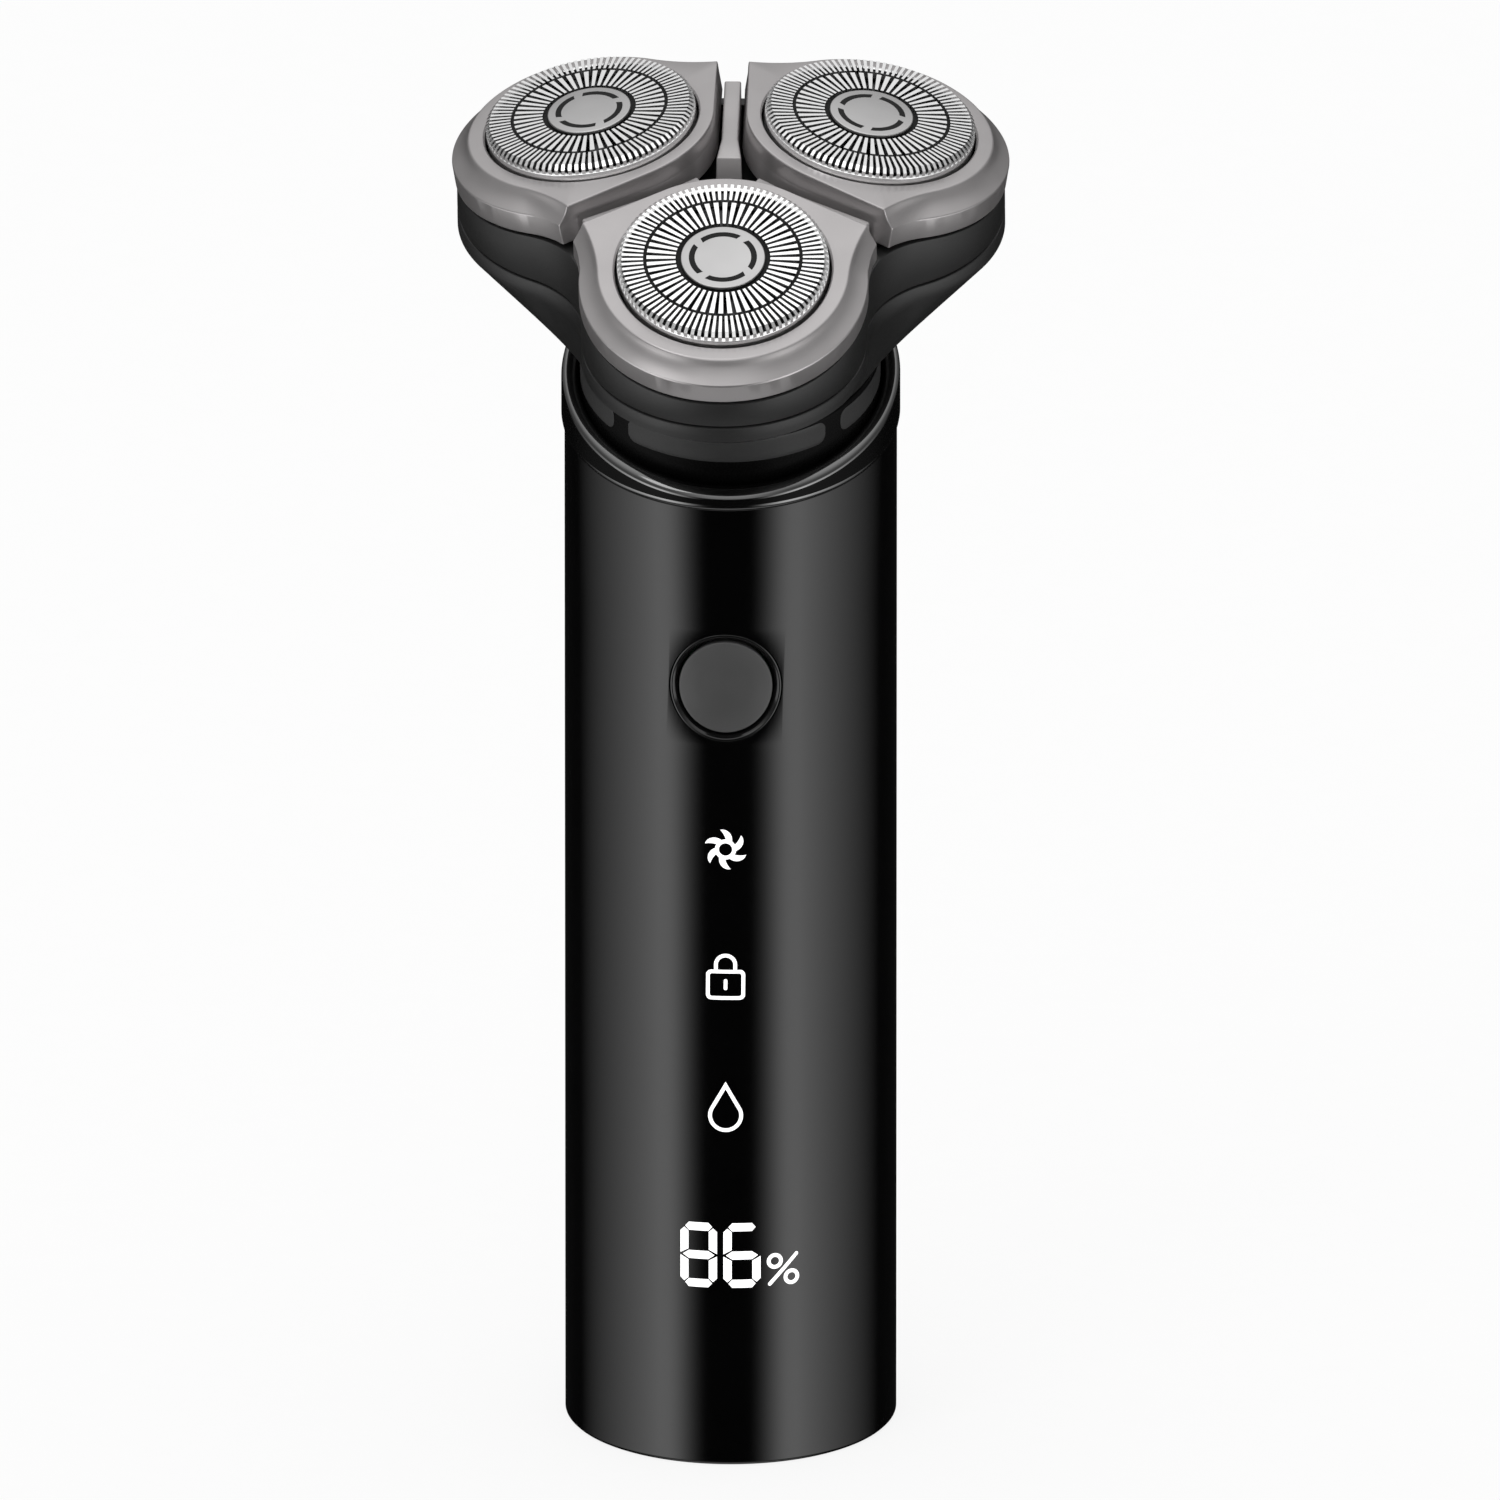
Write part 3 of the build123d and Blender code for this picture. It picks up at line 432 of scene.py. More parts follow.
def grain(tree, size, stretch=(1, 1, 1), detail=4.0):
    """Noise on Object coordinates with features of about a size in millimetres."""
    place = tree.nodes.new("ShaderNodeTexCoord")
    mapping = tree.nodes.new("ShaderNodeMapping")
    mapping.inputs["Scale"].default_value = stretch
    noise = tree.nodes.new("ShaderNodeTexNoise")
    noise.inputs["Scale"].default_value = 1 / (size * MM)
    noise.inputs["Detail"].default_value = detail
    tree.links.new(place.outputs["Object"], mapping.inputs["Vector"])
    tree.links.new(mapping.outputs["Vector"], noise.inputs["Vector"])
    return noise.outputs["Fac"]


def ramp(tree, source, dark, light, low=0.35, high=0.65):
    """Colour between two shades along a noise."""
    node = tree.nodes.new("ShaderNodeValToRGB")
    node.color_ramp.elements[0].position = low
    node.color_ramp.elements[0].color = (*dark, 1)
    node.color_ramp.elements[1].position = high
    node.color_ramp.elements[1].color = (*light, 1)
    tree.links.new(source, node.inputs["Fac"])
    return node.outputs["Color"]


def between(tree, source, low, high):
    """Number between two values along a noise."""
    node = tree.nodes.new("ShaderNodeMapRange")
    node.inputs["From Min"].default_value = 0.3
    node.inputs["From Max"].default_value = 0.7
    node.inputs["To Min"].default_value = low
    node.inputs["To Max"].default_value = high
    tree.links.new(source, node.inputs["Value"])
    return node.outputs["Result"]


def bump(tree, shader, source, depth, strength=0.4):
    """Fine relief, with its depth in millimetres."""
    node = tree.nodes.new("ShaderNodeBump")
    node.inputs["Strength"].default_value = strength
    node.inputs["Distance"].default_value = depth * MM
    tree.links.new(source, node.inputs["Height"])
    tree.links.new(node.outputs["Normal"], shader.inputs["Normal"])


def moulding(name, shade, rough, size=0.35, depth=0.01, vary=0.12, metallic=0.0, specular=0.5):
    """Surface of one shade with slow colour drift, uneven gloss and a fine grain."""
    material, tree, shader = new_material(name)
    drift = grain(tree, 9.0, detail=2.0)
    fine = grain(tree, size)
    dark = [value * (1 - vary) for value in shade]
    light = [value * (1 + vary) for value in shade]
    tree.links.new(ramp(tree, drift, dark, light), shader.inputs["Base Color"])
    tree.links.new(between(tree, fine, rough[0], rough[1]), shader.inputs["Roughness"])
    shader.inputs["Metallic"].default_value = metallic
    shader.inputs["Specular IOR Level"].default_value = specular
    bump(tree, shader, fine, depth)
    return material


def lacquer_black():
    return moulding("lacquer_black", (0.001, 0.001, 0.0011), (0.10, 0.13), size=1.6, depth=0.0015)


def polished_black():
    return moulding("polished_black", (0.0035, 0.0035, 0.0035), (0.10, 0.14), size=1.2, depth=0.001)


def collar_gloss():
    """Black with a hard, strongly mirroring coat."""
    shade = (0.002, 0.002, 0.002)
    material = moulding("collar_gloss", shade, (0.08, 0.12), size=1.2, depth=0.0008, specular=1.0)
    material.node_tree.nodes["Principled BSDF"].inputs["IOR"].default_value = 1.8
    return material


def neck_dull():
    return moulding("neck_dull", (0.003, 0.003, 0.003), (0.24, 0.30), size=0.3, depth=0.004, specular=0.05)


def satin_black():
    return moulding("satin_black", (0.014, 0.014, 0.014), (0.42, 0.5), size=0.22, depth=0.008)


def panel_grey():
    return moulding("panel_grey", (0.026, 0.026, 0.026), (0.45, 0.55), size=0.25, depth=0.008)


def button_satin():
    return moulding("button_satin", (0.064, 0.064, 0.064), (0.42, 0.5), size=0.2, depth=0.006)


def lobe_metal():
    """Warm grey satin metal with slow drift and a very faint upright brush."""
    material, tree, shader = new_material("lobe_metal")
    drift = grain(tree, 7.0, detail=2.0)
    brush = grain(tree, 0.25, stretch=(1, 1, 0.15))
    shade = ramp(tree, drift, (0.41, 0.394, 0.395), (0.44, 0.423, 0.424))
    tree.links.new(shade, shader.inputs["Base Color"])
    tree.links.new(between(tree, drift, 0.29, 0.33), shader.inputs["Roughness"])
    shader.inputs["Metallic"].default_value = 0.7
    bump(tree, shader, brush, 0.0006, 0.2)
    return material


def foil_steel():
    """Bright polished steel with faint polishing marks."""
    material, tree, shader = new_material("foil_steel")
    marks = grain(tree, 0.12)
    tree.links.new(ramp(tree, marks, (0.90, 0.90, 0.90), (0.97, 0.97, 0.97)), shader.inputs["Base Color"])
    tree.links.new(between(tree, marks, 0.16, 0.26), shader.inputs["Roughness"])
    shader.inputs["Metallic"].default_value = 1.0
    bump(tree, shader, marks, 0.002, 0.3)
    return material


def cap_steel():
    shade = (0.50, 0.495, 0.495)
    return moulding("cap_steel", shade, (0.30, 0.38), size=0.15, depth=0.003, vary=0.06, metallic=0.9)


def spider_grey():
    shade = (0.46, 0.445, 0.445)
    return moulding("spider_grey", shade, (0.38, 0.46), size=0.3, depth=0.005, vary=0.06, metallic=0.4)


def lit_white():
    """White light through the sleeve, a little uneven across each sign."""
    material, tree, shader = new_material("lit_white")
    glow = grain(tree, 2.5, detail=1.0)
    tree.links.new(ramp(tree, glow, (0.9, 0.9, 0.9), (1, 1, 1)), shader.inputs["Emission Color"])
    shader.inputs["Base Color"].default_value = (0.8, 0.8, 0.8, 1)
    shader.inputs["Emission Strength"].default_value = 0.95
    shader.inputs["Roughness"].default_value = 0.5
    return material


LACQUER = lacquer_black()
POLISHED = polished_black()
# Near-black painted shade for the sheets laid in the foils' grooves and the caps' ring gaps
PAINTED_SHADE = moulding("painted_gap_shade", (0.01, 0.01, 0.01), (0.6, 0.7), specular=0.2)
SATIN = satin_black()
COLLAR = collar_gloss()
NECK = neck_dull()
PANEL = panel_grey()
BUTTON = button_satin()
METAL = lobe_metal()
STEEL = foil_steel()
CAP = cap_steel()
SPIDER = spider_grey()
LIGHT = lit_white()


# Handle
def seam_level(y):
    """Height of the seam between sleeve and collar, which rises to the back."""
    return SEAM_FRONT + (y + BODY_RADIUS) * math.tan(math.radians(SEAM_SLOPE))


def rim_height(y):
    """Height of the collar's rim, which rises more steeply."""
    return COLLAR_FRONT + (y + BODY_RADIUS) * math.tan(math.radians(COLLAR_SLOPE))


def make_sleeve():
    """Tube with a chamfered foot, a sloping top and the hole for the bezel."""
    inner = BODY_RADIUS - BODY_WALL
    round_hole = [(BODY_RADIUS, BUTTON_HEIGHT + side * (BEZEL_RADIUS + HOLE_MARGIN)) for side in (-1, 1)]
    profile = [(inner, 0), (BODY_RADIUS - BODY_FOOT, 0), (BODY_RADIUS, BODY_FOOT), *round_hole]
    profile += [(BODY_RADIUS, BODY_HEIGHT), (inner, BODY_HEIGHT)]
    sleeve = turned("sleeve", profile, HANDLE, round_off=0.15, count=256)
    near_top = (BODY_HEIGHT - BODY_WALL) * MM
    for vert in sleeve.data.vertices:
        if vert.co.z > near_top:
            vert.co.z += (seam_level(vert.co.y / MM) - BODY_HEIGHT) * MM
    bpy.ops.object.select_all(action="DESELECT")
    bpy.ops.mesh.primitive_cylinder_add(
        vertices=96, radius=BEZEL_RADIUS * MM, depth=BODY_RADIUS * MM,
        location=(0, -BODY_RADIUS * MM, BUTTON_HEIGHT * MM), rotation=(math.pi / 2, 0, 0))
    cut_with(sleeve, bpy.context.object)
    bevel_piece(sleeve, 0.12)
    dress(sleeve, "handle", LACQUER, "sleeve_black", "body_sleeve")


def make_collar():
    """Glossy ring between the sloping seam and the steeper rim, and the dull band round its side."""
    def at(radius, height, shift):
        return [(x, y, height(y) + shift) for x, y, _ in circle(radius, 0, 192)]

    roll = COLLAR_RADIUS - BODY_RADIUS
    foot = COLLAR_GAP + 2 * roll
    turns = [step * math.pi / 12 for step in range(7)]
    rings = [at(radius, seam_level, COLLAR_GAP) for radius in (COLLAR_BORE, BODY_RADIUS - COLLAR_TUCK)]
    for turn in turns:
        rings.append(at(BODY_RADIUS + roll * math.sin(turn), seam_level, foot - 2 * roll * math.cos(turn)))
    for turn in turns:
        inset, drop = COLLAR_LIP * (1 - math.cos(turn)), COLLAR_LIP * (1 - math.sin(turn))
        rings.append(at(COLLAR_RADIUS - inset, rim_height, -drop))
    for turn in turns:
        inset, drop = COLLAR_LIP * (1 - math.sin(turn)), COLLAR_LIP * (1 - math.cos(turn))
        rings.append(at(COLLAR_BORE + inset, rim_height, -drop))
    rings.append(rings[0])
    collar = pull_rings("collar", rings, HANDLE)
    dress(collar, "handle", COLLAR, "neck_black", "neck_collar")
    side = COLLAR_RADIUS + COLLAR_BAND_LIFT
    back = side - COLLAR_BAND_DEPTH
    rings = [at(back, seam_level, foot), at(side, seam_level, foot)]
    rings += [at(side, rim_height, -COLLAR_LIP), at(back, rim_height, -COLLAR_LIP), rings[0]]
    band = pull_rings("collar_band", rings, HANDLE)
    dress(band, "handle", NECK, "neck_black")


def make_neck():
    """Leaning neck with the raised seat that the head sits on."""
    inner, ceiling = NECK_RADIUS - NECK_WALL, NECK_TOP - NECK_ROOF
    seat_bore, seat_top = SEAT_RADIUS - SEAT_WALL, NECK_TOP + SEAT_HEIGHT
    profile = [
        (NECK_RADIUS, NECK_BOTTOM), (NECK_RADIUS, NECK_TOP),
        (SEAT_RADIUS, NECK_TOP), (SEAT_RADIUS, seat_top), (seat_bore, seat_top), (seat_bore, NECK_TOP),
        (SHAFT_HOLE, NECK_TOP), (SHAFT_HOLE, ceiling), (inner, ceiling), (inner, NECK_BOTTOM)]
    neck = turned("neck", profile, HEAD, round_off=0.5, count=192)
    dress(neck, "handle", NECK, "neck_black", "neck_housing")


def make_neck_panel(quarter):
    """Satin inlay with round corners, laid on the neck; its columns crowd towards its ends."""
    low, high = PANEL_LEVELS
    crowding = 1.6
    lift = NECK_RADIUS + PANEL_LIFT
    reach = math.radians(PANEL_HALF_ANGLE) * NECK_RADIUS
    bpy.ops.object.select_all(action="DESELECT")
    bpy.ops.mesh.primitive_grid_add(x_subdivisions=72, y_subdivisions=6, size=2)
    panel = name_piece(f"neck_panel_{quarter + 1}")
    for vert in panel.data.vertices:
        along = math.copysign(1 - (1 - abs(vert.co.x)) ** crowding, vert.co.x) * reach
        past = max(0, abs(along) - reach + PANEL_CORNER)
        half = (high - low) / 2 - PANEL_CORNER + math.sqrt(max(0, PANEL_CORNER ** 2 - past ** 2))
        angle = along / NECK_RADIUS + math.radians(90 * quarter - 90)
        level = (high + low) / 2 + vert.co.y * half
        vert.co = HEAD @ Vector((lift * math.cos(angle), lift * math.sin(angle), level))
    change = panel.modifiers.new("depth", "SOLIDIFY")
    change.thickness = PANEL_DEPTH * MM
    change.offset = -1
    bpy.ops.object.modifier_apply(modifier=change.name)
    bevel_piece(panel, 0.05, 2)
    return panel


def make_neck_panels():
    """Four inlays round the neck; the first stands for the node that holds them all."""
    for quarter in range(4):
        nodes = ["neck_panels"] if quarter == 0 else []
        dress(make_neck_panel(quarter), "handle", PANEL, "neck_panel", *nodes)


def front_frame(height):
    """Frame on the front of the handle: x to the right, y up, z out of the face."""
    origin = Vector((0, -BODY_RADIUS * MM, height * MM))
    return frame_of(origin, Vector((1, 0, 0)), Vector((0, 0, 1)), Vector((0, -1, 0)))


def make_button():
    """Bezel in the sleeve's hole and the button in it, both bent round the handle."""
    place = front_frame(BUTTON_HEIGHT)
    edge, rim = BEZEL_RADIUS - BEZEL_FIT, BUTTON_RADIUS + BUTTON_GAP
    profile = [(edge, -BEZEL_DEPTH), (edge, BEZEL_LIFT), (BEZEL_RADIUS - BEZEL_LAND, BEZEL_LIFT)]
    profile += [(rim, -BEZEL_SLOPE), (rim, -BEZEL_DEPTH)]
    bezel = turned("bezel", profile, place, round_off=0.1, count=160)
    wrap_on_handle(bezel)
    dress(bezel, "handle", POLISHED, "neck_black", "button_bezel")
    profile = [(BUTTON_RADIUS, -BUTTON_DEPTH), *[(radius, -BUTTON_SINK) for radius in BUTTON_RINGS]]
    button = turned("button", profile, place, round_off=0.25, count=160, ends="filled")
    wrap_on_handle(button)
    dress(button, "button", BUTTON, "button_grey", "power_button")


# Head
def trefoil_radius(angle, inset=0.0):
    """Distance from the head axis to the three-lobed outline at an angle."""
    outer = BASE_RADIUS - inset
    edge = BASE_REACH - inset - outer
    valley = (BASE_SPREAD ** 2 - edge ** 2) / (BASE_SPREAD - 2 * edge)
    hollow = valley - edge - outer
    turn = abs((angle + math.pi / 2 + math.pi / 3) % (2 * math.pi / 3) - math.pi / 3)
    joint = Vector((valley / 2, valley * SIN60)) - Vector((BASE_SPREAD, 0))
    touch = Vector((BASE_SPREAD, 0)) + joint.normalized() * outer
    if turn < math.atan2(touch.y, touch.x):
        return BASE_SPREAD * math.cos(turn) + math.sqrt(outer ** 2 - (BASE_SPREAD * math.sin(turn)) ** 2)
    rest = math.pi / 3 - turn
    return valley * math.cos(rest) - math.sqrt(hollow ** 2 - (valley * math.sin(rest)) ** 2)


def trefoil(level, inset=0.0, shrink=0.0, target=0.0):
    """Ring on the three-lobed outline, or a share of the way from it to a circle."""
    ring = []
    for step in range(OUTLINE_POINTS):
        angle = 2 * math.pi * step / OUTLINE_POINTS
        radius = trefoil_radius(angle, inset) * (1 - shrink) + target * shrink
        x, y = radius * math.cos(angle), radius * math.sin(angle)
        ring.append((x, y, level(x, y) if callable(level) else level))
    return ring


def rim_level(x, y):
    """Height under the skirts of the lobes, which rest above it and tilt out from it."""
    out = max(x * math.cos(angle) + y * math.sin(angle) for angle in SPOKES) - LOBE_SPREAD
    cant = math.radians(LOBE_CANT)
    still = (LOBE_BOTTOM - SHADOW_GAP - math.sin(cant) * out) / math.cos(cant)
    tilted = LOBE_BOTTOM - SHADOW_GAP - math.tan(cant - math.radians(TILT_RANGE)) * out
    return min(still, tilted)


def below_rim(drop):
    """Heights a little below the rim, for a ring."""
    return lambda x, y: rim_level(x, y) - drop


def make_upper_shell():
    """Cup under the lobes: a level parting line below, a rim that follows the skirts above."""
    seam = PARTING + PARTING_HALF
    rings = [trefoil(seam, inset=SHELL_FLANGE)]
    rings += [trefoil(seam + rise, inset=inset) for rise, inset in PARTING_ROUND]
    rings += [trefoil(below_rim(drop), inset=inset) for drop, inset in RIM_ROUND]
    rings += [trefoil(rim_level, inset=SHELL_WALL), trefoil(DECK_TOP, inset=SHELL_WALL)]
    rings += [circle(DECK_HOLE, level, OUTLINE_POINTS) for level in (DECK_TOP, seam)]
    rings.append(rings[0])
    shell = pull_rings("upper_shell", rings, HEAD)
    dress(shell, "head", SATIN, "head_black", "head_upper_shell")


def make_lower_shell():
    """Funnel from the three-lobed parting line down to the round seat on the neck."""
    seam, floor = PARTING - PARTING_HALF, FUNNEL_BOTTOM + SHELL_WALL
    neck, hole = NECK_RADIUS + FUNNEL_PROUD, SEAT_RADIUS + SEAT_GAP
    rings = [circle(hole, FUNNEL_BOTTOM, OUTLINE_POINTS)]
    rings += [circle(neck - inset, FUNNEL_BOTTOM + rise, OUTLINE_POINTS) for rise, inset in FUNNEL_ROUND]
    start = FUNNEL_BOTTOM + FUNNEL_ROUND[-1][0]
    for step in range(FUNNEL_STEPS + 1):
        share = step / FUNNEL_STEPS
        level = start + (SHOULDER - start) * share
        rings.append(trefoil(level, shrink=1 - share ** FUNNEL_CURVE, target=neck))
    rings.append(trefoil(SHOULDER + SHOULDER_EDGE))
    rings += [trefoil(seam - drop, inset=inset) for drop, inset in reversed(PARTING_ROUND)]
    rings += [trefoil(level, inset=SHELL_WALL) for level in (seam, SHOULDER)]
    rings.append(trefoil(floor, inset=SHELL_WALL, shrink=FLOOR_SHRINK, target=neck - SHELL_WALL))
    rings += [circle(hole, floor, OUTLINE_POINTS), rings[0]]
    shell = pull_rings("lower_shell", rings, HEAD)
    dress(shell, "head", SATIN, "head_black", "head_lower_shell")


def arc(centre, radius, start, end, count):
    """Points along an arc, without the last one."""
    x, y = centre
    turns = [start + (end - start) * step / count for step in range(count)]
    return [Vector((x + radius * math.cos(turn), y + radius * math.sin(turn))) for turn in turns]


def line(start, end, count):
    """Points along a line, without the last one."""
    return [Vector(start).lerp(Vector(end), step / count) for step in range(count)]


def angle_of(vector):
    """Angle of a flat vector from the x axis."""
    return math.atan2(vector[1], vector[0])


def lobe_ring(level, inset=0.0):
    """Points round a lobe as it is at one level, taken in by an inset."""
    share = min(1, (LOBE_TOP - level) / (LOBE_TOP - LOBE_SKIRT))
    share -= FLANK_HOLLOW * math.sin(math.pi * share)
    pairs = (LOBE_SPREADS, LOBE_RADII, EAR_REACH, HALF_GAPS)
    spread, outer, reach, gap = [top + share * (skirt - top) for top, skirt in pairs]
    outer, reach, gap = outer - inset, reach - inset, gap + inset
    rise = reach - outer
    valley = (spread ** 2 - rise ** 2) / (spread - 2 * rise)
    hollow = valley - reach
    centre = Vector((valley / 2 - spread, valley * SIN60))
    start = centre.normalized() * outer
    along = valley - math.sqrt(hollow ** 2 - gap ** 2)
    corner = Vector((along / 2 - spread + gap * SIN60, along * SIN60 - gap / 2))
    inner = spread * SIN60 - gap
    foot = Vector((-inner * SIN60, inner / 2))
    first, last = angle_of(start - centre), angle_of(corner - centre)
    half = arc((0, 0), outer, 0, angle_of(start), 44)
    half += arc(centre, hollow, first % (2 * math.pi), last % (2 * math.pi), 14)
    half += line(corner, foot, 12)
    half += arc((0, 0), inner, angle_of(foot), math.pi, 14)
    other = [Vector((point.x, -point.y)) for point in reversed(half[1:])]
    return [(point.x, point.y, level) for point in half + [Vector((-inner, 0))] + other]


def bore_ring(radius, level):
    """Circle with its points facing those round the lobe."""
    around = [Vector(point[:2]).normalized() * radius for point in lobe_ring(LOBE_TOP)]
    return [(point.x, point.y, level) for point in around]


def make_lobe(place):
    """Frame round one foil: bore, top face, slanted flanks and a short upright skirt."""
    bore, under = FOIL_RADIUS + FOIL_GAP, LOBE_TOP - LOBE_PLATE
    rings = [bore_ring(bore, level) for level in (under, LOBE_TOP - LOBE_EDGE)]
    rings.append(bore_ring(bore + LOBE_EDGE, LOBE_TOP))
    for step in range(5):
        turn = step * math.pi / 8
        drop, inset = LOBE_EDGE * (1 - math.cos(turn)), LOBE_EDGE * (1 - math.sin(turn))
        rings.append(lobe_ring(LOBE_TOP - drop, inset))
    flank = LOBE_TOP - LOBE_SKIRT
    rings += [lobe_ring(LOBE_TOP - flank * step / FLANK_STEPS) for step in range(2, FLANK_STEPS)]
    rings += [lobe_ring(LOBE_SKIRT + shift) for shift in (LOBE_CREASE, 0, -LOBE_CREASE)]
    for step in range(4):
        turn = step * math.pi / 6
        rise, inset = LOBE_ROLL * (1 - math.sin(turn)), LOBE_ROLL * (1 - math.cos(turn))
        rings.append(lobe_ring(LOBE_BOTTOM + rise, inset))
    rings += [lobe_ring(level, LOBE_WALL) for level in (LOBE_BOTTOM, LOBE_SKIRT, under)]
    rings.append(rings[0])
    frame_piece = pull_rings(f"lobe_{place}", rings, LOBES[place])
    bevel_piece(frame_piece, 0.15, 2, 50)
    dress(frame_piece, f"lobe_{place}", METAL, "lobe_metal", f"lobe_frame_{place}")


def bar_ring(name, profile, count, fill, placement):
    """Ring of radial bars with one profile of radii and levels; fill is the share that is metal."""
    swing = fill * math.pi / count
    sides = [[(r * math.cos(turn), r * math.sin(turn), z) for r, z in profile] for turn in (-swing, swing)]
    bars = pull_rings(name, sides, Matrix.Scale(MM, 4), "filled")
    edit(bars)
    sweep = 2 * math.pi / count * (count - 1)
    bpy.ops.mesh.spin(steps=count - 1, dupli=True, angle=sweep, center=(0, 0, 0), axis=(0, 0, 1))
    leave(bars)
    bars.data.transform(placement @ Matrix.Scale(1 / MM, 4))
    return bars


def join(name, pieces):
    """Joins pieces into one object."""
    bpy.ops.object.select_all(action="DESELECT")
    for piece in pieces:
        piece.select_set(True)
    bpy.context.view_layer.objects.active = pieces[0]
    bpy.ops.object.join()
    return name_piece(name)


def make_foil(place):
    """Slotted disc: two tracks of bars inside a rim, with near-black rings of painted shade in the grooves between
    them and round the cap.
    """
    spot = LOBES[place]
    rim, under = FOIL_RADIUS - FOIL_FIT, -BAR_DEPTH
    start, inside, outside = CAP_RECESS + CAP_MARGIN, TRACK_SPLIT - TRACK_GAP, TRACK_SPLIT + TRACK_GAP
    slope, fall = BAR_SLOPE
    outer = [(outside, 0), (rim - slope, 0), (rim, -fall), (rim, -BAR_DROP), (rim - FOIL_WALL, -BAR_DROP)]
    outer += [(rim - FOIL_WALL - BAR_TAPER, under), (outside, under)]
    inner = [(start, 0), (inside, 0), (inside, under), (start, under)]
    top, bottom = FOIL_WALL_LEVELS
    bore = FOIL_RADIUS - FOIL_WALL
    wall = [(FOIL_RADIUS, bottom), (FOIL_RADIUS, top), (bore, top), (bore, bottom)]
    pieces = [turned("wall", wall, spot, 0.12, 160)]
    pieces.append(bar_ring("outer", outer, OUTER_SLOTS, OUTER_FILL, spot))
    pieces.append(bar_ring("inner", inner, INNER_SLOTS, INNER_FILL, spot))
    foil = join(f"foil_{place}", pieces)
    dress(foil, f"foil_{place}", STEEL, "foil_steel", f"foil_disc_{place}")
    # The groove and the well are near-black rings under the gaps: painted shade where one looks down into the foil
    shelf, base = GROOVE_LEVELS
    grooves = {
        "groove": (inside - GROOVE_LAP, outside + GROOVE_LAP),
        "well": (WELL_RADIUS, start + GROOVE_LAP),
    }
    for name, (near, far) in grooves.items():
        profile = [(far, base), (far, shelf), (near, shelf), (near, base)]
        ring = turned(f"foil_{name}_{place}", profile, spot, 0.05, 128)
        dress(ring, f"foil_{place}", PAINTED_SHADE, "foil_steel")


def make_cap(place):
    """Cap in the middle of a foil, with four dark arcs of painted shade where its ring gaps are."""
    ledge, base = CAP_STEM_LEVELS
    profile = [(CAP_STEM, base), (CAP_STEM, ledge), (CAP_RADIUS, ledge)]
    profile += [(CAP_RADIUS, CAP_RISE), (CAP_CENTRE, CAP_RISE)]
    cap = turned(f"cap_{place}", profile, LOBES[place], 0.15, 128, "filled")
    dress(cap, f"foil_{place}", CAP, "cap_steel", f"foil_cap_{place}")
    # Each arc is a thin near-black sheet on the cap: painted shade for a ring gap
    half = math.radians(ARC_HALF_ANGLE)
    levels = (CAP_RISE - ARC_SINK, CAP_RISE + ARC_LIFT)
    for number in range(4):
        middle = math.radians(90 * number + ARC_TURN)
        loop = arc((0, 0), CAP_ARC + ARC_HALF_WIDTH, middle - half, middle + half, 20)
        loop += arc((0, 0), CAP_ARC - ARC_HALF_WIDTH, middle + half, middle - half, 20)
        rings = [[(point.x, point.y, level) for point in loop] for level in levels]
        gap_shade = pull_rings(f"cap_gap_shade_{place}_{number + 1}", rings, LOBES[place], "filled")
        dress(gap_shade, f"foil_{place}", PAINTED_SHADE, "cap_steel")


def make_spider():
    """Ribs that stand in the gaps between the lobes; the first stands for the node that holds them all."""
    root, near, end = RIB_SPAN
    fall, slant = math.tan(math.radians(RIB_FALL)), math.tan(math.radians(RIB_SLANT))
    for number, angle in enumerate(SPOKES):
        turn = HEAD @ Matrix.Rotation(angle + math.pi / 3, 4, "Z")
        bpy.ops.object.select_all(action="DESELECT")
        bpy.ops.mesh.primitive_cube_add(size=2)
        rib = name_piece(f"gap_rib_{number + 1}")
        edit(rib)
        bpy.ops.mesh.subdivide(number_cuts=3)
        bpy.ops.object.mode_set(mode="OBJECT")
        for vert in rib.data.vertices:
            side, share, up = vert.co.y, (vert.co.x + 1) / 2, (vert.co.z + 1) / 2
            top = RIB_TOP - share * (end - near) * fall
            start = near - (1 - up) * (RIB_TOP - DECK_TOP) * slant
            out = start + share * (end - start)
            flare = max(0, (RIB_NARROW - out) / (RIB_NARROW - root))
            half = RIB_HALF + flare * (RIB_FLARE - RIB_HALF)
            vert.co = turn @ Vector((out, side * half, DECK_TOP + up * (top - DECK_TOP)))
        bevel_piece(rib, 0.2, 3, 50)
        nodes = ["gap_spider"] if number == 0 else []
        dress(rib, "head", SPIDER, "spider_grey", *nodes)


# Signs
def slice_columns(piece, pitch=0.5):
    """Cuts a flat sign into narrow columns, so that it can follow the round of the handle."""
    edit(piece)
    spots = [vert.co.x for vert in bmesh.from_edit_mesh(piece.data).verts]
    first, last = min(spots) / MM, max(spots) / MM
    for number in range(math.ceil(first / pitch), math.ceil(last / pitch)):
        bpy.ops.mesh.select_all(action="SELECT")
        bpy.ops.mesh.bisect(plane_co=(number * pitch * MM, 0, 0), plane_no=(1, 0, 0))
    leave(piece)


def raise_sign(name, height, outer, inner=None):
    """Thin lit shape within one loop, or between two loops with as many points."""
    def at(loop, level):
        return [(x, y, level) for x, y in loop]

    rings = [at(outer, -SIGN_DEPTH), at(outer, SIGN_LIFT)]
    if inner:
        rings += [at(inner, SIGN_LIFT), at(inner, -SIGN_DEPTH), rings[0]]
    piece = pull_rings(name, rings, front_frame(height), "open" if inner else "filled")
    slice_columns(piece)
    wrap_on_handle(piece)
    return piece


def round_bar(start, end, half):
    """Loop round a bar with round ends."""
    lean = angle_of(Vector(end) - Vector(start))
    loop = arc(end, half, lean - math.pi / 2, lean + math.pi / 2, 8)
    return loop + arc(start, half, lean + math.pi / 2, lean + 3 * math.pi / 2, 8)


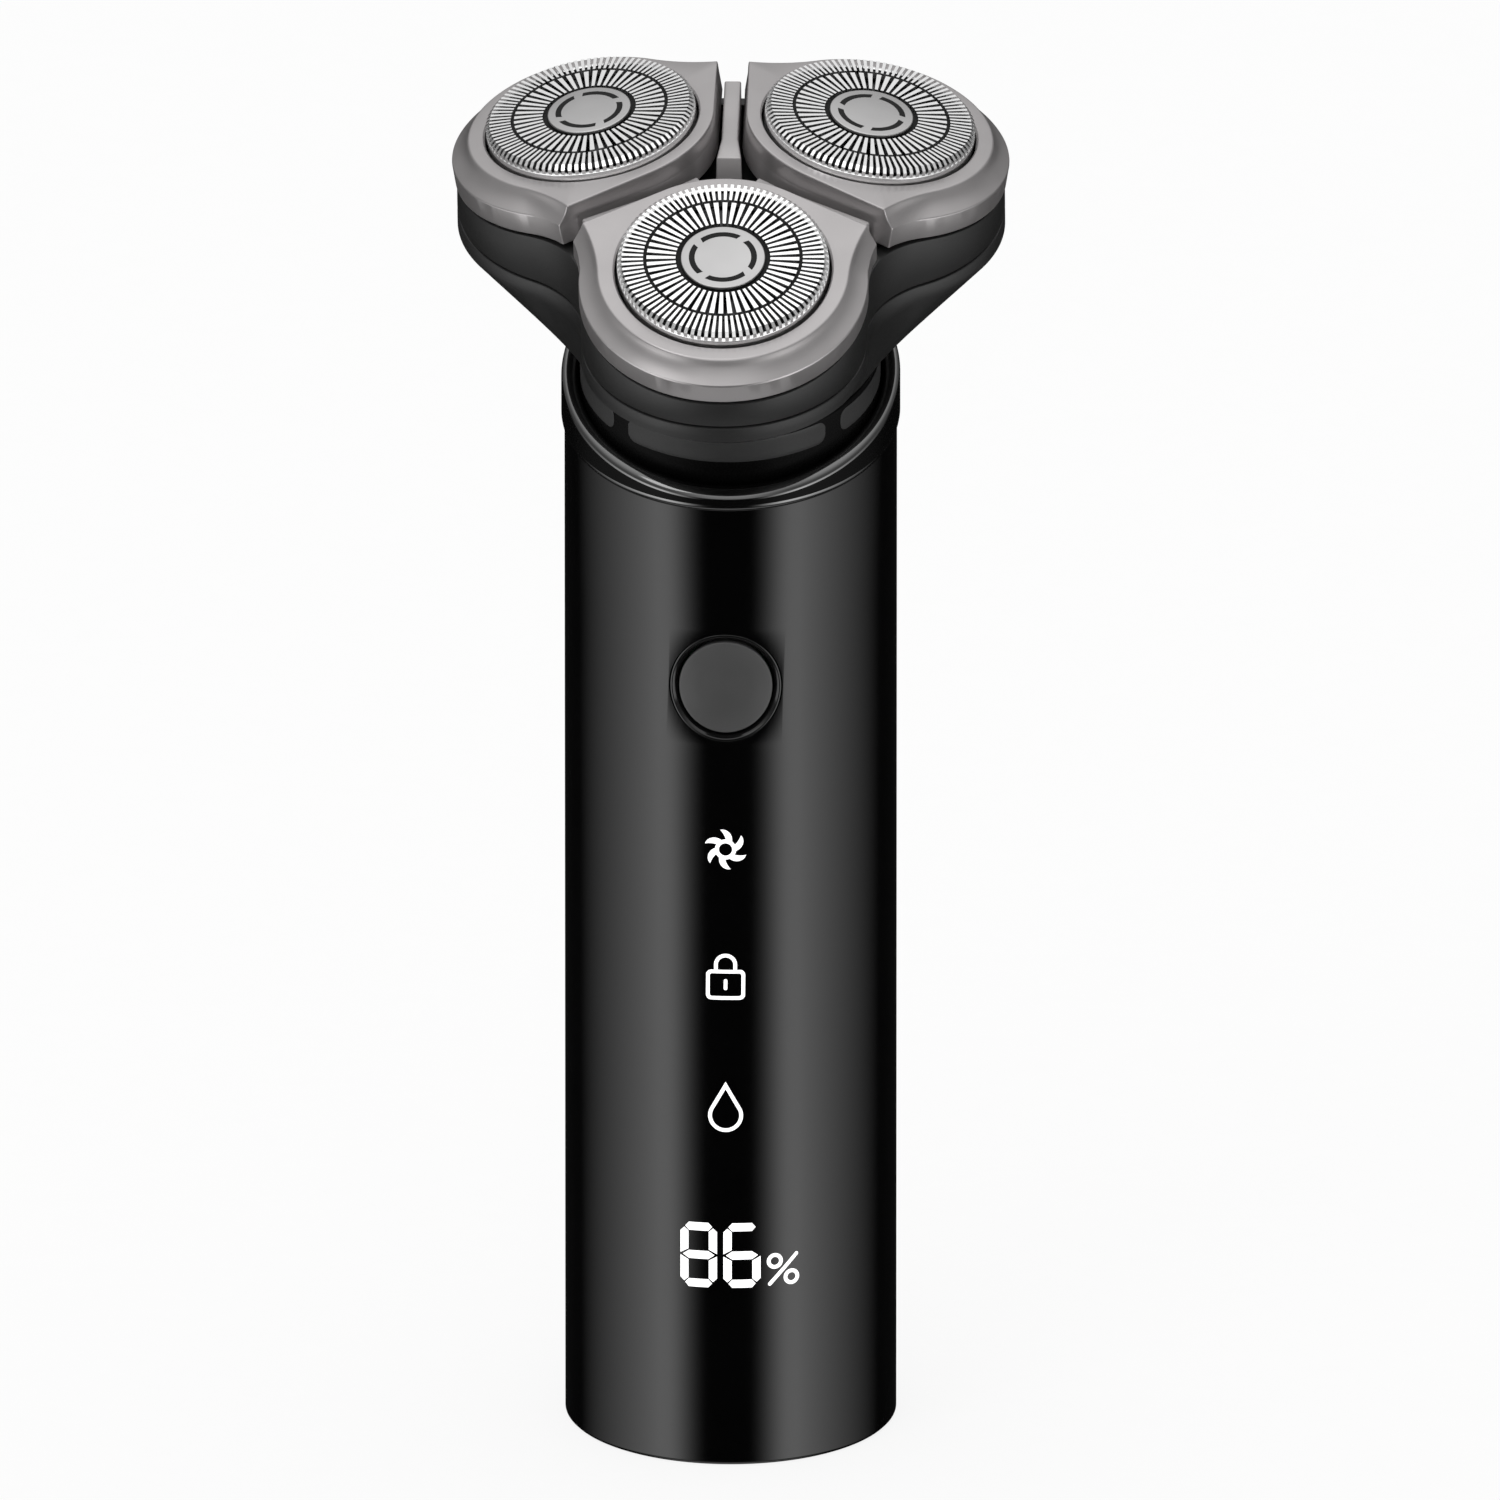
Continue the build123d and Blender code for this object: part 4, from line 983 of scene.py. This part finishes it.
def rounded_box(half, low, high, corner):
    """Loop round a box with round corners."""
    loop = []
    spots = [(half, low, -90), (half, high, 0), (-half, high, 90), (-half, low, 180)]
    for x, y, start in spots:
        centre = (x - math.copysign(corner, x), y + (corner if y == low else -corner))
        loop += arc(centre, corner, math.radians(start), math.radians(start + 90), 6)
    return loop


def make_fan():
    """Hub ring with six swept blades."""
    outer, inner = [arc((0, 0), radius, 0, 2 * math.pi, 48) for radius in FAN_HUB]
    pieces = [raise_sign("fan", FAN_HEIGHT, outer, inner)]
    shares = [step / 10 for step in range(11)]
    for blade in range(FAN_BLADES):
        base = math.radians(360 / FAN_BLADES * blade + BLADE_TURN)
        loop = [(BLADE_ROOT + BLADE_LENGTH * share, math.radians(BLADE_LEAD * share)) for share in shares]
        for share in reversed(shares[:-1]):
            radius = BLADE_ROOT + BLADE_LENGTH * math.sin(math.pi / 2 * share)
            loop.append((radius, math.radians((BLADE_LEAD + BLADE_LAG) * share - BLADE_LAG)))
        points = [(r * math.cos(base + turn), r * math.sin(base + turn)) for r, turn in loop]
        pieces.append(raise_sign("blade", FAN_HEIGHT, points))
    return join("sign_fan", pieces)


def make_lock():
    """Padlock outline with its shackle and a keyhole bar."""
    low, high = LOCK_LEVELS
    corner, inner_corner = LOCK_CORNERS
    outer = rounded_box(LOCK_HALF, low, high, corner)
    inner = rounded_box(LOCK_HALF - SIGN_STROKE, low + SIGN_STROKE, high - SIGN_STROKE, inner_corner)
    box = raise_sign("lock", LOCK_HEIGHT, outer, inner)
    foot, top = SHACKLE_LEVELS
    bow, bore, rise = SHACKLE_RADIUS, SHACKLE_RADIUS - SIGN_STROKE, top - SHACKLE_RADIUS
    loop = [(bow, foot), *arc((0, rise), bow, 0, math.pi, 20), (-bow, rise), (-bow, foot)]
    loop += [(-bore, foot), *arc((0, rise), bore, math.pi, 0, 20), (bore, rise), (bore, foot)]
    shackle = raise_sign("shackle", LOCK_HEIGHT, loop)
    start, end = [(0, level) for level in KEYHOLE_LEVELS]
    bar = raise_sign("keyhole", LOCK_HEIGHT, round_bar(start, end, SIGN_STROKE / 2))
    return join("sign_lock", [box, shackle, bar])


def make_drop():
    """Outline of a drop: a round belly under two straight sides."""
    middle, tip = DROP_LEVELS

    def loop(inset):
        radius = DROP_BELLY - inset
        point = tip - inset * (tip - middle) / DROP_BELLY
        turn = math.acos(radius / (point - middle))
        return [(0, point), *arc((0, middle), radius, math.pi / 2 + turn, math.pi * 5 / 2 - turn, 44)]

    return join("sign_drop", [raise_sign("drop", DROP_HEIGHT, loop(0), loop(SIGN_STROKE))])


def digit_loops(shown):
    """Loops of a seven-segment digit; shown names the segments that are lit."""
    wide, tall, stroke = DIGIT_SIZE
    half, thin = tall / 2, stroke / 2
    near, far = SEGMENT_CUT, wide - SEGMENT_CUT
    flat = [(SEGMENT_TIP, thin), (near, 0), (far, 0), (wide - SEGMENT_TIP, thin)]
    flat += [(far, stroke), (near, stroke)]
    bar = [(MIDDLE_TIP, half), (near, half - thin), (far, half - thin), (wide - MIDDLE_TIP, half)]
    bar += [(far, half + thin), (near, half + thin)]
    inner_end, outer_end = POST_ENDS
    post = [POST_TIP, (POST_WIDTH, POST_START), (POST_WIDTH, half - inner_end)]
    post += [(0, half - outer_end), (0, POST_START)]
    segments = {"top": flat, "middle": bar, "bottom": [(x, tall - y) for x, y in flat], "upper_left": post}
    segments["lower_left"] = [(x, tall - y) for x, y in post]
    segments["upper_right"] = [(wide - x, y) for x, y in post]
    segments["lower_right"] = [(wide - x, tall - y) for x, y in post]
    return [segments[name] for name in shown]


def make_digits():
    """Charge shown as two digits and a percent sign."""
    tall = DIGIT_SIZE[1]
    six = ["top", "middle", "bottom", "upper_left", "lower_left", "lower_right"]
    pieces = []
    for left, shown in ((DIGITS_LEFT, [*six, "upper_right"]), (DIGITS_LEFT + DIGIT_PITCH, six)):
        for loop in digit_loops(shown):
            points = [(left + x, tall / 2 - y) for x, y in loop]
            pieces.append(raise_sign("segment", DIGITS_HEIGHT, points))
    left = DIGITS_LEFT + 2 * DIGIT_PITCH
    for x, y in PERCENT_SPOTS:
        spot = (left + x, PERCENT_TOP - y)
        outer, inner = [arc(spot, radius, 0, 2 * math.pi, 36) for radius in PERCENT_RING]
        pieces.append(raise_sign("percent", DIGITS_HEIGHT, outer, inner))
    start, end = [(left + x, PERCENT_TOP - y) for x, y in PERCENT_SLASH]
    pieces.append(raise_sign("percent", DIGITS_HEIGHT, round_bar(start, end, PERCENT_HALF)))
    return join("sign_digits", pieces)


def make_signs():
    """Lit signs on the front of the handle."""
    for sign in (make_fan(), make_lock(), make_drop(), make_digits()):
        dress(sign, "handle", LIGHT, "display_white")


# CAD nodes that stay as they are
def inner_finishes():
    """Finish for each slot whose solids show as they are or lie inside."""
    finishes = {
        "cap_plastic": moulding("cap_plastic", (0.012, 0.012, 0.012), (0.35, 0.45)),
        "seal_rubber": moulding("seal_rubber", (0.02, 0.02, 0.02), (0.6, 0.7)),
        "gear_plastic": moulding("gear_plastic", (0.75, 0.73, 0.68), (0.35, 0.45), vary=0.04),
        "frame_plastic": moulding("frame_plastic", (0.05, 0.05, 0.052), (0.4, 0.5)),
        # Cutter steel is far darker than steel: painted shade, as the cutters sit in shadow under the foils' slots
        "cutter_steel": moulding("cutter_steel", (0.05, 0.05, 0.052), (0.3, 0.4), metallic=0.9),
        "pin_steel": moulding("pin_steel", (0.55, 0.55, 0.56), (0.25, 0.35), vary=0.05, metallic=1.0),
        "magnet": moulding("magnet", (0.45, 0.44, 0.42), (0.25, 0.35), vary=0.05, metallic=0.9),
        "motor_steel": moulding("motor_steel", (0.5, 0.5, 0.5), (0.3, 0.4), vary=0.05, metallic=0.9),
        "cell_wrap": moulding("cell_wrap", (0.05, 0.16, 0.3), (0.3, 0.4)),
        "tab_nickel": moulding("tab_nickel", (0.6, 0.58, 0.52), (0.25, 0.35), vary=0.05, metallic=1.0),
        "board_green": moulding("board_green", (0.02, 0.12, 0.05), (0.4, 0.5)),
        "switch_black": moulding("switch_black", (0.02, 0.02, 0.02), (0.4, 0.5)),
        "display_white": moulding("display_white", (0.7, 0.7, 0.68), (0.45, 0.55), vary=0.04),
        "guide_clear": moulding("guide_clear", (0.75, 0.76, 0.76), (0.15, 0.25), vary=0.03),
    }
    finishes.update({
        "sleeve_black": LACQUER, "neck_black": POLISHED, "neck_panel": PANEL, "button_grey": BUTTON,
        "head_black": SATIN, "lobe_metal": METAL, "spider_grey": SPIDER,
        "foil_steel": STEEL, "cap_steel": CAP})
    return finishes


def finish_nodes():
    """Gives every CAD node the finish of its slot."""
    finishes = inner_finishes()
    for entry in frame["record"]["subparts"]:
        mesh = frame["nodes"][entry["node"]].data
        mesh.materials.clear()
        mesh.materials.append(finishes[entry["material_slot"]])


# Studio
def compute(tree, operation, first, second=None):
    """One step of arithmetic on sockets or numbers."""
    node = tree.nodes.new("ShaderNodeMath")
    node.operation = operation
    for number, value in enumerate((first, second)):
        if isinstance(value, (int, float)):
            node.inputs[number].default_value = value
        elif value is not None:
            tree.links.new(value, node.inputs[number])
    return node.outputs["Value"]


def step_up(tree, source, start, end, power=1.0, shape="SMOOTHSTEP"):
    """Rises from nothing at the start to full at the end, which may lie below the start."""
    node = tree.nodes.new("ShaderNodeMapRange")
    node.interpolation_type = shape
    node.inputs["From Min"].default_value = start
    node.inputs["From Max"].default_value = end
    tree.links.new(source, node.inputs["Value"])
    return compute(tree, "POWER", node.outputs["Result"], power)


def product(tree, *values):
    """Sockets or numbers multiplied together."""
    total = values[0]
    for value in values[1:]:
        total = compute(tree, "MULTIPLY", total, value)
    return total


def make_world():
    """White behind the part; round it a dark studio with two tall bands, a front glow and light above."""
    world = bpy.data.worlds.new("studio")
    bpy.context.scene.world = world
    world.use_nodes = True
    tree = world.node_tree
    tree.nodes.clear()
    place = tree.nodes.new("ShaderNodeTexCoord")
    split = tree.nodes.new("ShaderNodeSeparateXYZ")
    tree.links.new(place.outputs["Generated"], split.inputs["Vector"])
    height = split.outputs["Z"]
    forward = compute(tree, "MULTIPLY", split.outputs["Y"], -1)
    turn = compute(tree, "ABSOLUTE", compute(tree, "ARCTAN2", split.outputs["X"], forward))
    side = compute(tree, "DEGREES", turn)
    low = product(tree, step_up(tree, height, *BAND_TOP), step_up(tree, height, *BAND_FOOT))
    rise, fall = step_up(tree, side, *BAND_RISE), step_up(tree, side, *BAND_FALL, "LINEAR")
    bands = product(tree, rise, fall, low, BAND_LIGHT)
    upper = step_up(tree, height, *ROOM_HEIGHTS)
    front = product(tree, step_up(tree, side, *FRONT_SIDES), upper, FRONT_LIGHT)
    above = product(tree, step_up(tree, height, *TOP_HEIGHTS), TOP_LIGHT)
    below = product(tree, step_up(tree, height, *FLOOR_HEIGHTS), FLOOR_LIGHT)
    total = compute(tree, "ADD", product(tree, upper, ROOM_LIGHT), FILL_LIGHT)
    for part in (bands, front, above, below):
        total = compute(tree, "ADD", total, part)
    around = tree.nodes.new("ShaderNodeBackground")
    tree.links.new(total, around.inputs["Strength"])
    white = tree.nodes.new("ShaderNodeBackground")
    white.inputs["Color"].default_value = (1, 1, 1, 1)
    path = tree.nodes.new("ShaderNodeLightPath")
    choose = tree.nodes.new("ShaderNodeMixShader")
    output = tree.nodes.new("ShaderNodeOutputWorld")
    tree.links.new(path.outputs["Is Camera Ray"], choose.inputs["Fac"])
    tree.links.new(around.outputs["Background"], choose.inputs[1])
    tree.links.new(white.outputs["Background"], choose.inputs[2])
    tree.links.new(choose.outputs["Shader"], output.inputs["Surface"])


def make_floor():
    """Plain pale floor that the camera sees as nearly white, with the part's shadow on it."""
    bpy.ops.object.select_all(action="DESELECT")
    bpy.ops.mesh.primitive_plane_add(size=FLOOR_SIZE)
    floor = name_piece("floor")
    material, tree, shader = new_material("floor_white")
    fine = grain(tree, 4.0)
    tree.links.new(ramp(tree, fine, (0.93, 0.93, 0.93), (0.95, 0.95, 0.95)), shader.inputs["Base Color"])
    shader.inputs["Roughness"].default_value = 0.9
    glow = tree.nodes.new("ShaderNodeEmission")
    path = tree.nodes.new("ShaderNodeLightPath")
    seen = compute(tree, "MULTIPLY", path.outputs["Is Camera Ray"], FLOOR_GLOW)
    choose = tree.nodes.new("ShaderNodeMixShader")
    tree.links.new(seen, choose.inputs["Fac"])
    tree.links.new(shader.outputs["BSDF"], choose.inputs[1])
    tree.links.new(glow.outputs["Emission"], choose.inputs[2])
    tree.links.new(choose.outputs["Shader"], tree.nodes["Material Output"].inputs["Surface"])
    floor.data.materials.append(material)
    floor.visible_glossy = False


def make_lamp():
    """Soft round lamp in front, to the left and above."""
    bpy.ops.object.select_all(action="DESELECT")
    bpy.ops.object.light_add(type="AREA", location=KEY_SPOT)
    lamp = bpy.context.object
    lamp.name = "key"
    lamp.data.shape = "DISK"
    lamp.data.size = KEY_SIZE
    lamp.data.energy = KEY_POWER
    lamp.rotation_euler = (Vector(KEY_TARGET) - Vector(KEY_SPOT)).to_track_quat("-Z", "Y").to_euler()


def make_camera():
    """Long lens in front, a little above and to the right."""
    side, up = math.radians(CAMERA_SIDE), math.radians(CAMERA_UP)
    away = Vector((math.sin(side) * math.cos(up), -math.cos(side) * math.cos(up), math.sin(up)))
    target = Vector(CAMERA_TARGET) * MM
    bpy.ops.object.select_all(action="DESELECT")
    bpy.ops.object.camera_add(location=target + away * CAMERA_DISTANCE)
    camera = bpy.context.object
    camera.rotation_euler = (-away).to_track_quat("-Z", "Y").to_euler()
    camera.data.sensor_width = CAMERA_SENSOR
    camera.data.lens = CAMERA_SENSOR * CAMERA_DISTANCE / (FRAME_WIDTH * MM)
    camera.data.clip_start = CAMERA_NEAR
    bpy.context.scene.camera = camera


make_sleeve()
make_collar()
make_neck()
make_neck_panels()
make_button()
make_upper_shell()
make_lower_shell()
for place in PLACES:
    make_lobe(place)
    make_foil(place)
    make_cap(place)
make_spider()
make_signs()
finish_nodes()
make_world()
make_floor()
make_lamp()
make_camera()
bpy.context.scene.view_settings.view_transform = "Standard"
